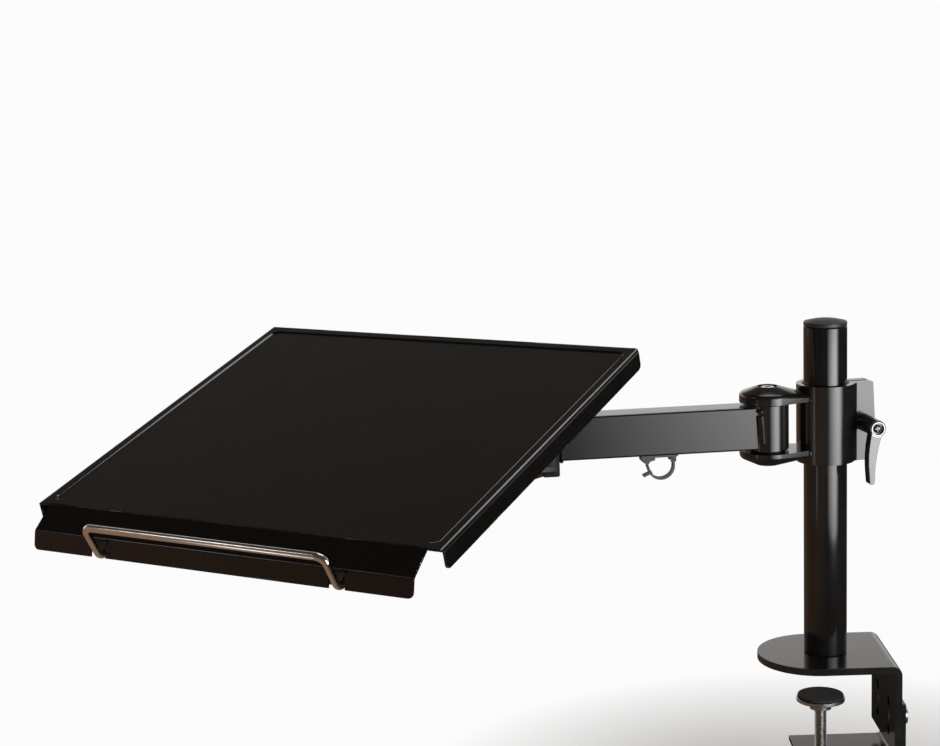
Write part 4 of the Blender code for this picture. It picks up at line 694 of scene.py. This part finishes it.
def press(x, y):
    """How many millimetres the sheet is pressed down at a point: a smooth step up to one, 1.4 mm
    wide, inside a rectangle with rounded corners that lies 7 mm within the tray's edge."""
    far_x = np.abs(x) - (half_width - recess_inset - recess_corner)
    far_y = np.abs(y) - (half_depth - recess_inset - recess_corner)
    outside = np.hypot(np.maximum(far_x, 0), np.maximum(far_y, 0))
    inward = recess_corner - outside - np.minimum(np.maximum(far_x, far_y), 0)
    share = np.clip(inward / recess_wall, 0, 1)
    return share * share * (3 - 2 * share)


def cut_back(beyond, radius):
    """How far a round corner of a radius cuts an edge back, at a distance beyond its start."""
    return radius - np.sqrt(radius ** 2 - np.clip(beyond, 0, radius) ** 2)


def tray_top():
    """The sheet across the tray by its arc length: up the left flange, round a quarter bend,
    over the flat and down the right one. Along it, every column runs from the front edge, whose
    corners are rounded in plan or in side view, to the back edge."""
    flat = np.concatenate([lip_columns(), np.linspace(lip_half, half_width - bend, 12)[1:]])
    flat = np.concatenate([-flat[::-1][:11], flat])
    turn = np.linspace(0, pi / 2, 9)[1:]
    drop = np.linspace(bend, flange, 16)[1:]
    x = np.concatenate([flat, half_width - bend + bend * np.sin(turn), 0 * drop + half_width])
    z = np.concatenate([0 * flat, bend * np.cos(turn) - bend, -drop])
    x = np.concatenate([-x[:len(flat) - 1:-1], x])
    z = np.concatenate([z[:len(flat) - 1:-1], z])
    front_most, back_most = 1.2, 1.5
    low = cut_back(flange_corner - flange - z, flange_corner)
    front = cut_back(np.abs(x) - (half_width - front_corner), front_corner)
    front += np.where(np.abs(x) <= lip_half + 0.001, lip_start, 0)
    front = np.minimum(front, front_most) + low
    back = cut_back(np.abs(x) - (half_width - back_corner), back_corner)
    back = np.minimum(back, back_most) + low
    depth, wall_start, wall_end = 2 * half_depth, 6.5, 15
    rim = np.linspace(0, wall_start, 8)[:-1]
    wall = np.linspace(wall_start, wall_end, 18)
    middle = np.linspace(wall_end, depth - wall_end, 40)[1:-1]
    along = np.concatenate([rim, wall, middle, depth - wall[::-1], depth - rim[::-1]]) / depth
    y = -half_depth + front + along[:, None] * (depth - front - back)
    down = np.where(np.abs(x) < half_width - bend, press(x, y), 0)
    return put(tray_place, x, y, z - down)


def lip_columns():
    """Places across the lip, close together at the notches and at its rounded ends."""
    notch = [wire_half + side * far for side in (-1, 1)
             for far in (0, 2, 3, 3.6, 4.3, 5, 5.5, 5.8, 5.99, 6.01)]
    ends = lip_half - np.array([0, 0.05, 0.3, 0.8, 1.5, 2.4, 3.5])
    right = np.unique(np.concatenate([np.linspace(8, 80, 10), notch, ends, [110, 120, 130]]))
    return np.concatenate([-right[::-1], [0], right])


def tray_lip():
    """The front lip by its arc length: a bend of 24.7 degrees, a slope, a bend to 66 degrees and
    a drop. Every column ends where the notch, the rounded corner or the edge ends it."""
    slope, slope_length, drop, drop_length, bend_radius = radians(24.7), 21.5, radians(66), 12.6, 3
    x = lip_columns()
    bend_y, bend_z = -half_depth - slope_length * cos(slope), -slope_length * sin(slope)
    end_y, end_z = bend_y - drop_length * cos(drop), bend_z - drop_length * sin(drop)
    path = np.array(eased([(-half_depth + lip_start, 0), (-half_depth, 0), (bend_y, bend_z),
                           (end_y, end_z)], bend_radius, 8))[1:]
    length = np.concatenate([[0], np.cumsum(np.linalg.norm(np.diff(path, axis=0), axis=1))])
    edge = end_z + cut_back(np.abs(x) - (lip_half - lip_corner), lip_corner)
    off = np.abs(np.abs(x) - wire_half)
    notch = -notch_top - cut_back(off - (notch_half - notch_corner), notch_corner)
    stop = np.interp(-np.where(off < notch_half, notch, edge), -path[:, 1], length)
    share = np.concatenate([np.linspace(0, 0.06, 6)[:-1], np.linspace(0.06, 1, 44)])[:, None]
    run = share * stop
    y = np.interp(run, length, path[:, 0])
    z = np.interp(run, length, path[:, 1])
    return put(tray_place, x + 0 * y, y, z)


tray_coat = gloss_black("tray_coat", 0.7, tone=0.0035, polish=0.13)
tray = skin("tray_skin", tray_top(), tray_lip())
sheet = tray.modifiers.new("Sheet", "SOLIDIFY")
sheet.thickness = 0.0015
sheet.offset = -1
rounded(tray, 0.0003, 50)
dressed(tray, tray_coat, "laptop_tray")

black_screws = gloss_black("black_screws", 0.5, tone=0.02, polish=0.35)
for number in (1, 2, 3, 4):
    softened(f"tray_screw_{number}", 0.0, black_screws)
    softened(f"tray_nut_{number}", 0.0003, zinc_plate)
for side in ("left", "right"):
    softened("wire_guide_" + side, 0.0004, black_plastic)
    softened("guide_screw_" + side, 0.0, black_screws)


# The wire stop
#
# A 5 mm chromed wire. Its two legs slide in the guides under the tray, turn up through the lip's
# notches and join in a bar in front of it.

def wire_stop():
    """The wire: a circle carried along its bent path, with a dome closing each end."""
    radius, bend_radius = 2.5, 6
    rear, foot, bar = (-92, -21.2), (-165.9, -21.2), (-173.7, 4.7)
    corners = [(-wire_half, *rear), (-wire_half, *foot), (-wire_half, *bar), (wire_half, *bar),
               (wire_half, *foot), (wire_half, *rear)]
    path = np.array(eased(corners, bend_radius, 12))
    dome_run = np.array([0.0, 0.3, 0.9, 1.7])
    dome_size = np.array([0, 0.55, 0.88, 1])
    first = path[0] + np.outer(dome_run, (0, -1, 0))
    last = path[-1] + np.outer(dome_run[::-1], (0, -1, 0))
    path = np.concatenate([first, path[1:-1], last])
    scale = np.concatenate([dome_size, np.ones(len(path) - 8), dome_size[::-1]])
    turn = np.linspace(0, 2 * pi, 33)
    return swept(tray_place, path, radius * np.cos(turn), radius * np.sin(turn), (0, 0, 1), scale)


chrome = bright_metal("chrome", (0.84, 0.82, 0.8), 0.13, 300.0)
dressed(skin("wire_skin", wire_stop()), chrome, "wire_stop", 60)
